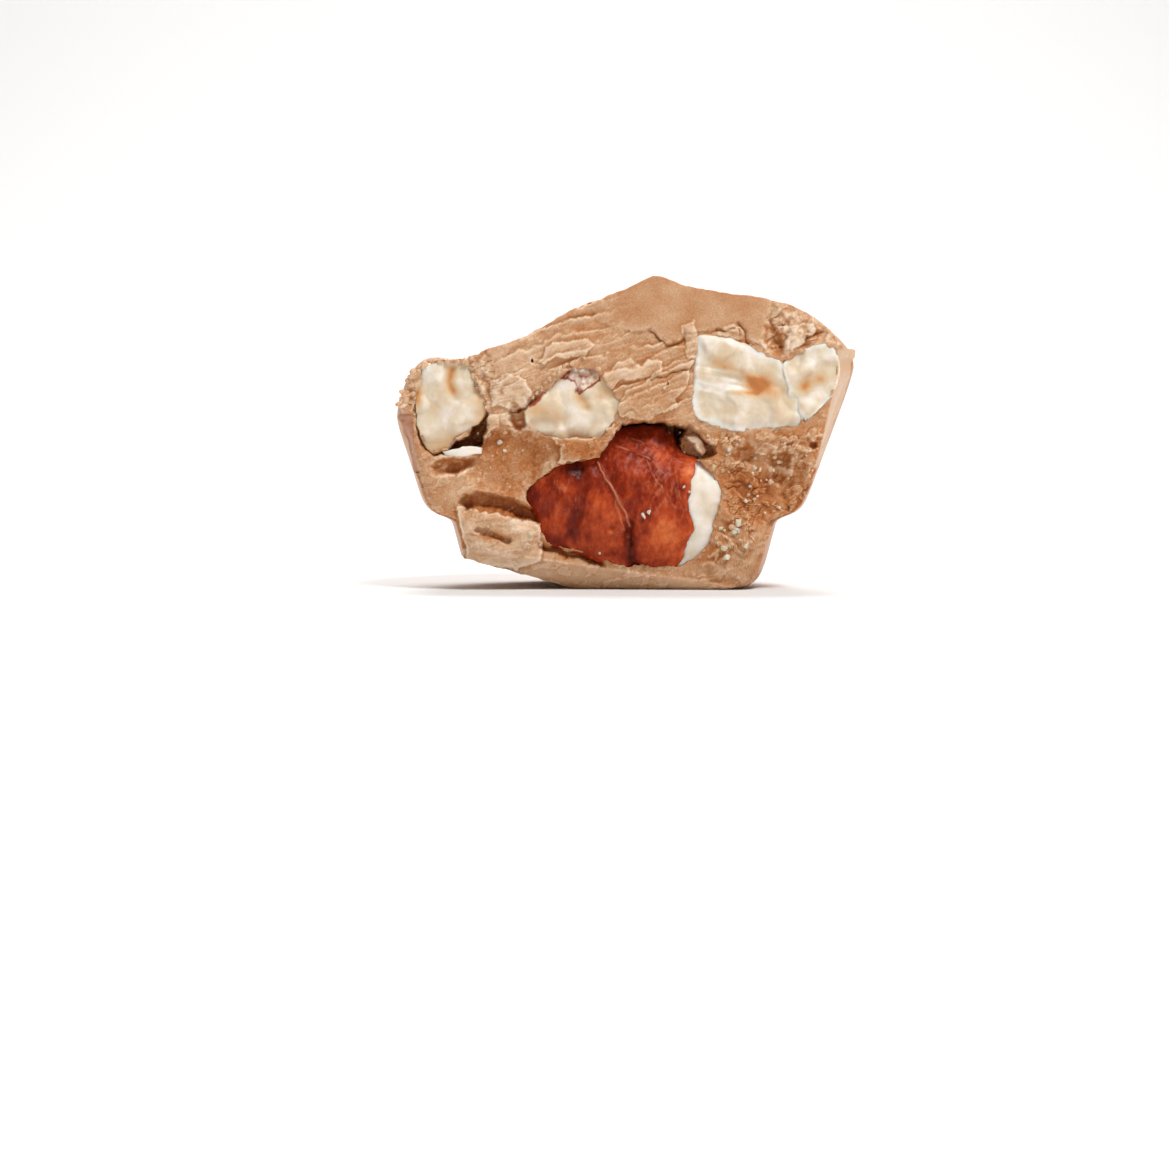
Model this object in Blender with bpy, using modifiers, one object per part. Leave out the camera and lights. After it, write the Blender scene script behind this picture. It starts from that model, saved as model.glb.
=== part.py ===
"""Half of a milk-chocolate nut cup, standing on its foot with the broken face to the front.

The cup is a turned shape: a flat foot, a small ledge, a flaring wall and a low dome. It leans a
little, so the rim is higher on the right. The front is a rough break that runs through five nuts.
X is right, Y runs back into the chocolate and Z is up, in metres.
"""

import math

import bmesh
import bpy
import numpy as np

MM = 0.001

# Turned profile of the whole cup: (radius, height) in mm, from the crown down to the foot.
CUP_PROFILE = [
    (0.0, 25.2), (2.0, 25.1), (4.3, 24.6), (7.5, 23.7), (10.2, 22.9), (12.6, 22.0), (14.9, 20.7),
    (16.5, 19.3), (17.6, 18.1), (18.3, 17.1), (18.65, 16.2), (18.5, 15.4), (17.7, 12.9),
    (16.9, 10.4), (16.2, 8.3), (15.7, 7.0), (15.1, 6.3), (14.1, 5.9), (13.4, 5.6), (13.2, 4.9),
    (12.8, 3.4), (12.4, 1.9), (11.9, 0.8), (11.1, 0.2), (10.2, 0.0), (8.6, 0.0), (7.0, 0.0),
    (5.4, 0.0), (3.8, 0.0), (2.0, 0.0), (0.0, 0.0),
]
CUP_STEPS = 72
AXIS_BEHIND_FACE = 4.6          # the break runs this far in front of the cup's axis
LEDGE_HEIGHT, RIM_HEIGHT = 6.0, 16.2
RIM_TILT = 0.113                # rise of the rim for each mm to the right
FOOT_SHIFT, RIM_SHIFT = -1.0, -0.1
LEFT_LIFT_FROM, LEFT_LIFT_SLOPE = -4.2, 0.28   # the foot's left corner is worn up from here
# Swells and dips of the poured crown: (x, distance behind the axis, half width, half depth, rise).
CROWN_LUMPS = [
    (-8.8, 0.0, 4.6, 8.5, -2.0), (-17.0, -1.5, 2.6, 4.0, 1.8), (9.5, 7.5, 6.0, 4.5, 0.5),
    (2.6, -3.0, 2.0, 4.0, 0.85), (-5.0, 12.5, 4.5, 3.5, 0.5), (-2.2, -2.0, 2.6, 6.0, -0.45),
    (14.8, -2.0, 4.2, 6.0, 0.5), (-13.5, -3.0, 2.4, 5.0, -0.35),
]
# Behind the break the crown drops by the first of these at once and then keeps falling, mm per mm.
CROWN_DROP, CROWN_DROP_WITHIN, CROWN_FALL = 1.05, 5.0, 0.055
PLEATS, PLEAT_DEPTH = 22, 0.17  # soft pleats that a paper case leaves below the rim

# Hollows and swells of the broken face: (x, z, half length, half height, turn in degrees, depth).
FACE_FORMS = {
    "middle hollow": (-9.8, 10.4, 3.4, 2.9, 0, 0.85),
    "pitted hollow": (11.2, 8.6, 3.8, 3.2, -12, 0.9),
    "upper right crag": (11.9, 20.3, 0.8, 1.3, 20, 0.7),
    "long groove": (-10.7, 7.2, 3.2, 0.75, -17, 1.3),
    "red slot": (-10.7, 4.35, 1.5, 0.7, -20, 0.8),
    "corner hollow": (-14.3, 10.2, 1.7, 0.8, 14, 0.9),
    "hole by the middle nut": (-8.9, 14.1, 0.8, 1.1, 10, 0.9),
    "foot block": (-10.6, 4.6, 3.3, 1.9, -8, -0.55),
    "flaky swell": (-7.0, 18.4, 6.5, 2.2, 20, -0.35),
    "right shelf": (9.5, 2.6, 3.4, 2.2, 0, -0.3),
}
FACE_LEVEL = 0.45
# Air gaps beside the nuts: (x, z, half length, half height, turn in degrees, depth).
AIR_GAPS = {
    "gap_left": (-12.6, 12.6, 1.7, 0.95, 42, 3.0),
    "gap_over_skinned_nut": (1.7, 13.3, 3.1, 0.9, 0, 3.4),
    "gap_right_of_skinned_nut": (5.2, 11.6, 1.15, 1.7, 25, 3.0),
}
FLAKE_STEP, FLAKE_SPACING, FLAKE_TURN = 0.16, 1.9, math.radians(21)
FACE_CELL = 0.58                # grid of the break, mm
FACE_HALF_WIDTH, FACE_BOTTOM, FACE_TOP = 20.0, -1.0, 27.0
EDGE_WEAR_AT_LEDGE, EDGE_WEAR_AT_RIM, WEAR_SLOPE = 0.15, 0.85, 1.9
LOWER_EDGE_LEFT, LOWER_EDGE_RIGHT = 3.3, 0.3   # height of the break's lower edge at its two ends
LOWER_EDGE_SPAN = (-13.0, 8.0)
UNDERCUT_SLOPE = 0.95

# Nuts: outline in the face's plane (x, z) in mm, level of the widest section behind the face,
# how far it bulges forward and how deep it reaches, with the rings and segments of its mesh.
NUTS = {
    "nut_left": dict(
        outline=[(-14.0, 18.2), (-12.9, 17.8), (-12.4, 16.4), (-11.7, 15.5), (-11.6, 14.7),
                 (-12.4, 13.7), (-13.7, 12.5), (-15.0, 11.3), (-15.9, 11.4), (-16.6, 12.8),
                 (-16.8, 14.5), (-16.6, 16.3), (-15.8, 17.6)],
        level=1.3, bulge=0.9, depth=4.2, segments=24, rings=12,
    ),
    "nut_middle": dict(
        outline=[(-4.6, 17.8), (-3.0, 17.6), (-1.6, 17.0), (-0.7, 15.4), (-1.4, 13.9), (-2.1, 12.7),
                 (-4.0, 12.3), (-6.2, 12.4), (-7.7, 13.3), (-8.0, 14.5), (-6.9, 15.6), (-6.0, 16.9)],
        level=1.1, bulge=0.9, depth=4.4, segments=24, rings=12,
    ),
    "nut_right": dict(
        outline=[(5.9, 20.4), (8.2, 20.2), (10.4, 19.4), (12.6, 18.4), (13.6, 17.3), (13.5, 15.6),
                 (13.9, 14.4), (13.3, 13.5), (11.6, 13.1), (9.4, 13.0), (7.4, 13.2), (6.0, 14.0),
                 (5.4, 15.7), (5.5, 17.4), (5.8, 19.2)],
        level=0.9, bulge=0.75, depth=5.0, segments=28, rings=12,
    ),
    "nut_right_rear": dict(
        outline=[(15.3, 19.6), (16.5, 19.3), (17.0, 18.2), (16.8, 16.9), (16.2, 15.6), (15.3, 14.6),
                 (14.7, 14.8), (14.6, 16.0), (14.4, 17.4), (14.2, 18.6), (14.5, 19.4)],
        level=1.2, bulge=0.8, depth=3.4, segments=20, rings=10,
    ),
    "nut_skinned": dict(
        outline=[(0.2, 12.9), (2.6, 12.9), (3.5, 11.6), (5.0, 10.3), (6.3, 10.4), (7.2, 9.3),
                 (7.5, 7.8), (7.0, 5.6), (5.8, 3.4), (4.2, 2.2), (0.6, 2.2), (-3.0, 2.5),
                 (-6.0, 3.4), (-7.0, 5.0), (-8.0, 7.1), (-7.6, 8.3), (-6.1, 9.6), (-3.6, 10.3),
                 (-1.7, 10.6), (-0.9, 12.0)],
        level=3.6, bulge=4.8, depth=5.2, segments=36, rings=18,
    ),
    "nut_shard": dict(
        outline=[(-14.7, 11.15), (-13.0, 11.55), (-11.9, 11.5), (-11.9, 10.95), (-13.2, 10.85),
                 (-14.6, 10.8)],
        level=1.1, bulge=0.7, depth=1.1, segments=14, rings=8,
    ),
}
POCKET_GAP = 0.32
POCKET_REACH = 5.0              # pockets run this far out through the face
FLAT_FRONT = 0.38               # below 1, a broken nut's front is flatter than a ball's
SKIN_CREASES = [(-3.3, 0.6, 0.5), (0.1, 0.7, 0.7), (3.6, 0.6, 0.5)]   # (x, half width, depth)
BARE_FLESH_FROM, BARE_FLESH_SLOPE = 4.9, 0.22   # right of this line the skin has come off

CHOCOLATE = dict(colour=(0.50, 0.28, 0.155, 1.0), roughness=0.48)
KERNEL = dict(colour=(0.83, 0.70, 0.50, 1.0), roughness=0.55)
SKIN = dict(colour=(0.27, 0.055, 0.018, 1.0), roughness=0.40)


def clear_scene():
    """Removes what the scene starts with."""
    for old in list(bpy.data.objects):
        bpy.data.objects.remove(old, do_unlink=True)


def new_collection(name):
    """A collection linked to the scene."""
    made = bpy.data.collections.new(name)
    bpy.context.scene.collection.children.link(made)
    return made


def food_material(name, colour, roughness):
    """A plain Principled surface."""
    made = bpy.data.materials.new(name)
    made.use_nodes = True
    shader = made.node_tree.nodes["Principled BSDF"]
    shader.inputs["Base Color"].default_value = colour
    shader.inputs["Roughness"].default_value = roughness
    shader.inputs["Metallic"].default_value = 0.0
    return made


def ease(value, start, end):
    """0 before start, 1 after end, and a smooth S between them."""
    share = np.clip((value - start) / (end - start), 0.0, 1.0)
    return share * share * (3.0 - 2.0 * share)


def mesh_points(mesh):
    """The mesh's points in mm."""
    flat = np.empty(len(mesh.vertices) * 3, np.float32)
    mesh.vertices.foreach_get("co", flat)
    return flat.reshape(-1, 3).astype(float) / MM


def set_mesh_points(mesh, points):
    """Moves the mesh's points, given in mm."""
    mesh.vertices.foreach_set("co", (points * MM).astype(np.float32).ravel())
    mesh.update()


def turned_cup(collection):
    """The whole cup: the profile with a Screw modifier, then leaned and lumped."""
    profile = bpy.data.meshes.new("cup_profile")
    points = [(r * MM, 0.0, z * MM) for r, z in CUP_PROFILE]
    edges = [(k, k + 1) for k in range(len(points) - 1)]
    profile.from_pydata(points, edges, [])
    guide = bpy.data.objects.new("cup_profile", profile)
    collection.objects.link(guide)
    screw = guide.modifiers.new("turn", "SCREW")
    screw.axis = "Z"
    screw.steps = screw.render_steps = CUP_STEPS
    screw.use_merge_vertices = True
    screw.merge_threshold = 0.00005
    bpy.context.view_layer.update()
    graph = bpy.context.evaluated_depsgraph_get()
    mesh = bpy.data.meshes.new_from_object(guide.evaluated_get(graph))
    bpy.data.objects.remove(guide, do_unlink=True)
    set_mesh_points(mesh, leaned(mesh_points(mesh)))
    cup = bpy.data.objects.new("chocolate", mesh)
    collection.objects.link(cup)
    return cup


def leaned(points):
    """The turned cup's points with its tilt, shift, pleats, crown lumps and worn foot corner."""
    x, y, z = points.T.copy()
    upper = ease(z, LEDGE_HEIGHT, RIM_HEIGHT)
    radius = np.hypot(x, y)
    around = np.arctan2(y, x)
    below_rim = ease(z, 8.5, 15.0) * (1.0 - ease(z, 17.5, 19.5)) * ease(radius, 14.0, 17.0)
    pleat = 1.0 + PLEAT_DEPTH * below_rim * np.cos(PLEATS * around) / np.maximum(radius, 1.0)
    x, y = x * pleat, y * pleat
    rise = RIM_TILT * x * upper
    crown = ease(z, RIM_HEIGHT - 1.0, RIM_HEIGHT + 2.0)
    for at_x, at_y, wide, deep, height in CROWN_LUMPS:
        rise += height * crown * np.exp(-((x - at_x) / wide) ** 2 - ((y - at_y) / deep) ** 2)
    behind = np.maximum(y + AXIS_BEHIND_FACE, 0.0)
    top = ease(z, RIM_HEIGHT + 0.8, RIM_HEIGHT + 7.0)
    rise -= top * (CROWN_DROP * (1.0 - np.exp(-behind / CROWN_DROP_WITHIN)) + CROWN_FALL * behind)
    z = z + rise
    x = x + FOOT_SHIFT + (RIM_SHIFT - FOOT_SHIFT) * upper
    floor = np.maximum(0.0, (LEFT_LIFT_FROM - x) * LEFT_LIFT_SLOPE)
    z = np.where(z < floor + 1.5, np.maximum(z, floor), z)
    return np.column_stack([x, y + AXIS_BEHIND_FACE, z])


def wall_half_width(z):
    """Half width of the cup where the break crosses its wall, at height z."""
    heights = [height for radius, height in reversed(CUP_PROFILE)]
    radii = [radius for radius, height in reversed(CUP_PROFILE)]
    radius = np.interp(z, heights[2:], radii[2:])
    return np.sqrt(np.maximum(radius**2 - AXIS_BEHIND_FACE**2, 1.0))


def break_depth(x, z):
    """How far behind the front plane the break lies, in mm, at (x, z)."""
    depth = np.full_like(x, FACE_LEVEL)
    for at_x, at_z, length, height, turn, sink in FACE_FORMS.values():
        c, s = math.cos(math.radians(turn)), math.sin(math.radians(turn))
        along = ((x - at_x) * c + (z - at_z) * s) / length
        across = (-(x - at_x) * s + (z - at_z) * c) / height
        reach = np.sqrt(along**2 + across**2)
        depth += sink * (1.0 - ease(reach, 0.62, 1.25))
    # Flaky layers: a saw across the layers, each step a little proud of the next one down.
    across = -x * math.sin(FLAKE_TURN) + z * math.cos(FLAKE_TURN)
    saw = np.mod(across + 0.35 * np.sin(0.8 * x), FLAKE_SPACING) / FLAKE_SPACING
    flaky = ease(z, 14.5, 16.5) * (1.0 - ease(x, 2.0, 6.0))
    depth -= FLAKE_STEP * (saw - 0.5) * 2.0 * flaky
    # The break's side edges are worn back, most of all at the rim.
    upper = ease(z, LEDGE_HEIGHT, RIM_HEIGHT)
    rim_height = z - RIM_TILT * x * upper
    middle = FOOT_SHIFT + (RIM_SHIFT - FOOT_SHIFT) * upper
    inside = wall_half_width(rim_height) - np.abs(x - middle)
    wear = EDGE_WEAR_AT_LEDGE + (EDGE_WEAR_AT_RIM - EDGE_WEAR_AT_LEDGE) * upper
    under_crown = 1.0 - ease(rim_height, 16.5, 18.5)
    depth += WEAR_SLOPE * np.clip(wear - inside, 0.0, 2.0) * under_crown
    # Below the break's lower edge the foot curves back to the flat that it stands on.
    share = np.clip((x - LOWER_EDGE_SPAN[0]) / (LOWER_EDGE_SPAN[1] - LOWER_EDGE_SPAN[0]), 0.0, 1.0)
    lower_edge = LOWER_EDGE_LEFT + (LOWER_EDGE_RIGHT - LOWER_EDGE_LEFT) * share
    depth += UNDERCUT_SLOPE * np.clip(lower_edge - z, 0.0, 4.0)
    return depth


def break_cutter(collection):
    """A block in front of the cup whose rear face is the break."""
    columns = round(2 * FACE_HALF_WIDTH / FACE_CELL)
    rows = round((FACE_TOP - FACE_BOTTOM) / FACE_CELL)
    shape = bmesh.new()
    bmesh.ops.create_grid(shape, x_segments=columns, y_segments=rows, size=0.5)
    flat = shape.verts[:]
    front = bmesh.ops.extrude_face_region(shape, geom=shape.faces[:])["geom"]
    lifted = {v for v in front if isinstance(v, bmesh.types.BMVert)}
    x = np.array([v.co.x for v in flat]) * 2.0 * FACE_HALF_WIDTH
    z = np.array([v.co.y for v in flat]) * (FACE_TOP - FACE_BOTTOM) + (FACE_TOP + FACE_BOTTOM) / 2
    for vert, at_x, at_z, depth in zip(flat, x, z, break_depth(x, z)):
        vert.co = (at_x * MM, depth * MM, at_z * MM)
    for vert in lifted:
        at_x = vert.co.x * 2.0 * FACE_HALF_WIDTH
        at_z = vert.co.y * (FACE_TOP - FACE_BOTTOM) + (FACE_TOP + FACE_BOTTOM) / 2
        vert.co = (at_x * MM, -(AXIS_BEHIND_FACE + 30.0) * MM, at_z * MM)
    bmesh.ops.recalc_face_normals(shape, faces=shape.faces[:])
    mesh = bpy.data.meshes.new("break_cutter")
    shape.to_mesh(mesh)
    shape.free()
    return as_cutter(bpy.data.objects.new("break_cutter", mesh), collection)


def as_cutter(obj, collection):
    """Keeps a helper out of the render and in the cutters' collection."""
    for holder in list(obj.users_collection):
        holder.objects.unlink(obj)
    collection.objects.link(obj)
    obj.hide_render = True
    obj.display_type = "WIRE"
    return obj


def air_gap_cutter(name, gap, collection):
    """A ball stretched to the size of an air gap, let in from the front."""
    x, z, length, height, turn, depth = gap
    bpy.ops.mesh.primitive_uv_sphere_add(segments=20, ring_count=12, radius=1.0)
    cutter = bpy.context.object
    cutter.name = name
    cutter.scale = (length * MM, (depth + 1.0) * MM, height * MM)
    cutter.location = (x * MM, -0.8 * MM, z * MM)
    cutter.rotation_euler = (0.0, math.radians(-turn), 0.0)
    return as_cutter(cutter, collection)


def outline_radius(outline, middle, angles):
    """Distance from middle to the closed outline in each direction, along smooth blends."""
    points = np.array(outline) - middle
    turn = np.arctan2(points[:, 1], points[:, 0])
    order = np.argsort(turn)
    turn, reach = turn[order], np.hypot(*points[order].T)
    turn = np.concatenate([turn - 2 * math.pi, turn, turn + 2 * math.pi])
    reach = np.tile(reach, 3)
    return np.interp(angles, turn, reach)


def nut_points(ball, nut, grow, front_reach):
    """Shapes a unit ball (pole along Y) into the nut; grow widens it for a pocket."""
    outline = np.array(nut["outline"])
    middle = outline.mean(axis=0)
    x, y, z = ball.T
    wide = np.hypot(x, z)
    angle = np.arctan2(z, x)
    reach = outline_radius(outline, middle, angle) + grow
    power = FLAT_FRONT if nut["bulge"] < 2.0 else 1.0
    across = reach * np.power(wide, power)
    forward = (nut["bulge"] + grow + front_reach) * np.clip(-y, 0.0, 1.0)
    backward = (nut["depth"] + grow) * np.clip(y, 0.0, 1.0)
    shaped_x = middle[0] + across * np.cos(angle)
    shaped_z = middle[1] + across * np.sin(angle)
    if nut is NUTS["nut_skinned"] and grow == 0.0:
        for at_x, half, sink in SKIN_CREASES:
            bend = 0.35 * (shaped_z - middle[1])
            crease = np.exp(-(((shaped_x - at_x + bend) / half) ** 2))
            forward = np.where(y < 0.0, forward - sink * crease * np.clip(-y, 0.0, 1.0), forward)
    return np.column_stack([shaped_x, nut["level"] - forward + backward, shaped_z])


def nut_solid(name, nut, collection, grow=0.0, front_reach=0.0):
    """A closed nut, or its pocket, made from a UV sphere."""
    mesh = bpy.data.meshes.new(name)
    ball = bmesh.new()
    bmesh.ops.create_uvsphere(ball, u_segments=nut["segments"], v_segments=nut["rings"], radius=1.0)
    ball.to_mesh(mesh)
    ball.free()
    flat = np.empty(len(mesh.vertices) * 3, np.float32)
    mesh.vertices.foreach_get("co", flat)
    points = flat.reshape(-1, 3).astype(float)
    # The sphere's pole is Z; it is laid along Y so the rings lie in the face's plane.
    laid = np.column_stack([points[:, 0], -points[:, 2], points[:, 1]])
    set_mesh_points(mesh, nut_points(laid, nut, grow, front_reach))
    made = bpy.data.objects.new(name, mesh)
    collection.objects.link(made)
    return made


def bare_flesh_faces(nut):
    """Gives the faces right of the skin's torn edge the kernel's material."""
    for face in nut.data.polygons:
        x, z = face.center.x / MM, face.center.z / MM
        torn = BARE_FLESH_FROM + BARE_FLESH_SLOPE * (z - 7.0)
        face.material_index = 1 if x > torn and z < 10.4 else 0


def round_shading(obj, degrees=50):
    """Smooth shading with its sharp edges kept."""
    obj.data.shade_smooth()
    obj.data.set_sharp_from_angle(angle=math.radians(degrees))


def stand_on_origin(nodes, helpers):
    """Parents everything to one empty and moves it, so the origin is under the box's middle."""
    bpy.context.view_layer.update()
    graph = bpy.context.evaluated_depsgraph_get()
    corners = [
        node.matrix_world @ vertex.co
        for node in nodes
        for vertex in node.evaluated_get(graph).data.vertices
    ]
    low = np.min(corners, axis=0)
    high = np.max(corners, axis=0)
    stand = bpy.data.objects.new("cup_stand", None)
    bpy.context.scene.collection.objects.link(stand)
    for obj in nodes + helpers:
        obj.parent = stand
    stand.location = (-(low[0] + high[0]) / 2, -(low[1] + high[1]) / 2, -low[2])


def main():
    clear_scene()
    parts = new_collection("chocolate_nut_cup_half")
    cutters = new_collection("cutters")
    chocolate_finish = food_material("milk_chocolate", **CHOCOLATE)
    kernel_finish = food_material("nut_kernel", **KERNEL)
    skin_finish = food_material("nut_skin", **SKIN)

    chocolate = turned_cup(parts)
    chocolate.data.materials.append(chocolate_finish)
    tools = [break_cutter(cutters)]
    tools += [air_gap_cutter(name, gap, cutters) for name, gap in AIR_GAPS.items()]
    nuts = []
    for name, nut in NUTS.items():
        made = nut_solid(name, nut, parts)
        made.data.materials.append(skin_finish if name == "nut_skinned" else kernel_finish)
        nuts.append(made)
        pocket = nut_solid(name + "_pocket", nut, cutters, POCKET_GAP, POCKET_REACH)
        tools.append(as_cutter(pocket, cutters))
        round_shading(made)
    whole = bpy.data.objects["nut_skinned"]
    whole.data.materials.append(kernel_finish)
    bare_flesh_faces(whole)
    for tool in tools:
        cut = chocolate.modifiers.new(tool.name, "BOOLEAN")
        cut.operation = "DIFFERENCE"
        cut.object = tool
    round_shading(chocolate)
    stand_on_origin([chocolate] + nuts, tools)


main()
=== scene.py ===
"""Looks of half a milk-chocolate nut cup, on a pale studio floor.

Every shape is worked out in the break's own frame, in mm: x right, y back from the break's front
plane and z up from the floor. ROW_SHIFT takes it to the part's frame.
"""

import math

import bpy
import numpy as np
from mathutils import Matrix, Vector


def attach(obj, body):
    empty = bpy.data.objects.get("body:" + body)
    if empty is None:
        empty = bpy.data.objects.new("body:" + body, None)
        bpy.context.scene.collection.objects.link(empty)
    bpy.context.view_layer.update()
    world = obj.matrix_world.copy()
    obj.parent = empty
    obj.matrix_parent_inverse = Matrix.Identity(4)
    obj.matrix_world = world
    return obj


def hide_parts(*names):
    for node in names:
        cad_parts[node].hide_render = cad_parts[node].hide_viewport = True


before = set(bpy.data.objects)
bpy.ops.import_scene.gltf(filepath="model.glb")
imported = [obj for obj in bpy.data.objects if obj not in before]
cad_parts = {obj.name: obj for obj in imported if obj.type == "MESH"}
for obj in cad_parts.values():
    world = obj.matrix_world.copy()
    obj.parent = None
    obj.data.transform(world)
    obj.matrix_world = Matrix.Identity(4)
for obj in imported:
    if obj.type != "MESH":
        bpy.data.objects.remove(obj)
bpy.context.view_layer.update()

bl_info = {
    "name": "Halved chocolate nut cup",
    "version": (1, 0, 0),
    "blender": (4, 5, 0),
    "location": "3D View > Sidebar > Nut cup",
    "description": "Builds the broken chocolate, its nuts and a studio stage on the packed part",
    "category": "Object",
}

MM = 0.001
ROW_SHIFT = np.array([0.1, -11.06, 0.0])

# The moulded cup, as the part's source has it: (radius, height) in mm from the crown to the foot.
CUP_PROFILE = [
    (0.0, 25.2), (2.0, 25.1), (4.3, 24.6), (7.5, 23.7), (10.2, 22.9), (12.6, 22.0), (14.9, 20.7),
    (16.5, 19.3), (17.6, 18.1), (18.3, 17.1), (18.65, 16.2), (18.5, 15.4), (17.7, 12.9),
    (16.9, 10.4), (16.2, 8.3), (15.7, 7.0), (15.1, 6.3), (14.1, 5.9), (13.4, 5.6), (13.2, 4.9),
    (12.8, 3.4), (12.4, 1.9), (11.9, 0.8), (11.1, 0.2), (10.2, 0.0),
]
AXIS_BEHIND_FACE = 4.6
LEDGE_HEIGHT, RIM_HEIGHT = 6.0, 16.2
RIM_TILT = 0.113
FOOT_SHIFT, RIM_SHIFT = -1.0, -0.1
LEFT_LIFT_FROM, LEFT_LIFT_SLOPE = -4.2, 0.28
CROWN_LUMPS = [
    (-8.8, 0.0, 4.6, 8.5, -2.0), (-17.0, -1.5, 2.6, 4.0, 1.8), (9.5, 7.5, 6.0, 4.5, 0.5),
    (2.6, -3.0, 2.0, 4.0, 0.85), (-5.0, 12.5, 4.5, 3.5, 0.5), (-2.2, -2.0, 2.6, 6.0, -0.45),
    (14.8, -2.0, 4.2, 6.0, 0.5), (-13.5, -3.0, 2.4, 5.0, -0.35),
]
CROWN_DROP, CROWN_DROP_WITHIN, CROWN_FALL = 1.05, 5.0, 0.055
PLEATS, PLEAT_DEPTH = 22, 0.17
FACE_MIDDLE = (-0.2, 12.0)
FACE_LEVEL = 0.45

# Hollows and swells of the break: (x, z, half length, half height, turn in degrees, depth).
FACE_FORMS = [
    (-9.8, 10.4, 3.4, 2.9, 0, 0.85), (11.2, 8.6, 3.8, 3.2, -12, 0.75), (11.9, 20.3, 0.8, 1.3, 20, 0.5),
    (-10.6, 4.6, 3.3, 1.9, -8, -0.45), (-7.0, 18.4, 6.5, 2.2, 20, -0.25), (9.5, 2.6, 3.4, 2.2, 0, -0.3),
    (-14.2, 10.1, 1.8, 0.7, 12, 0.7), (-8.9, 14.1, 0.8, 1.1, 10, 0.9), (6.2, 16.9, 0.9, 3.0, 0, 0.1),
    (12.3, 8.4, 1.5, 1.3, 0, 0.35), (-3.4, 11.5, 1.7, 1.3, 0, -0.15),
]
# Round pits: (x, z, radius, depth).
PITS = [
    (9.5, 11.1, 1.15, 0.5), (12.4, 10.6, 1.15, 0.55), (12.4, 9.1, 0.8, 0.4), (15.1, 11.8, 0.5, 0.5),
    (-7.7, 18.55, 0.2, 0.9), (3.3, 16.7, 0.12, 0.3), (-14.0, 9.9, 0.7, 0.3),
]
# Torn plates that stand proud: (outline, height in mm, lightness, height of fine ridges along it).
PROUD_PLATES = [
    ([(-6.1, 20.1), (-3.6, 20.4), (-2.6, 19.9), (-3.0, 19.4), (-3.4, 18.8), (-6.1, 18.8),
      (-6.6, 18.2), (-7.2, 18.4)], 0.22, 0.1, 0.0),
    ([(-11.1, 16.9), (-9.6, 17.5), (-8.2, 17.1), (-7.7, 15.9), (-8.3, 14.9), (-9.3, 14.5),
      (-10.0, 14.9), (-11.0, 14.8)], 0.25, 0.04, 0.016),
    ([(-1.8, 17.6), (-0.9, 18.5), (0.3, 18.8), (1.0, 18.2), (1.5, 18.7), (2.7, 18.5), (2.9, 17.6),
      (1.4, 17.1), (-0.6, 16.9), (-1.3, 16.2), (-1.9, 16.6)], 0.2, 0.12, 0.016),
    ([(-6.4, 12.6), (-5.4, 11.6), (-5.5, 10.4), (-5.0, 10.1), (-4.5, 10.4), (-3.4, 10.5),
      (-2.6, 10.1), (-2.2, 10.5), (-1.8, 11.1), (-0.9, 12.5), (-1.0, 13.6), (-3.0, 12.3)], 0.55, -0.18, 0.0),
    ([(4.4, 21.3), (5.3, 21.9), (5.8, 20.9), (5.9, 18.7), (4.9, 18.8), (4.6, 20.0)], 0.12, 0.12, 0.016),
    ([(-0.7, 15.0), (-0.6, 14.2), (0.6, 13.8), (1.9, 13.8), (2.3, 14.2), (3.1, 14.4), (3.9, 14.6),
      (4.1, 15.0), (3.9, 15.6), (4.7, 16.2), (5.4, 18.8), (1.9, 17.2), (0.0, 16.2)], 0.22, 0.03, 0.0),
    ([(7.2, 20.9), (8.5, 21.6), (9.2, 21.2), (9.8, 20.2), (8.4, 20.5), (7.2, 20.6)], 0.14, 0.08, 0.0),
    ([(12.4, 21.4), (13.3, 21.3), (14.2, 21.7), (15.2, 21.5), (15.4, 20.9), (14.6, 20.6),
      (14.2, 19.9), (13.4, 19.4), (12.8, 19.7), (12.8, 20.6)], 0.24, 0.1, 0.0),
    ([(-13.9, 6.7), (-13.2, 6.75), (-12.1, 6.5), (-9.0, 5.95), (-7.2, 5.35), (-6.9, 4.4), (-7.0, 2.4),
      (-9.0, 1.6), (-12.9, 2.2), (-13.4, 4.6)], 0.34, 0.08, 0.0),
    ([(-12.6, 12.2), (-11.3, 14.4), (-10.2, 14.3), (-10.4, 13.4), (-11.2, 12.9), (-11.7, 11.9)],
     0.2, 0.03, 0.0),
]
# The fine ridges along a plate: millimetres from one to the next, and their turn in radians.
RIDGE_SPACING, RIDGE_TURN = 0.42, 0.2
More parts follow.
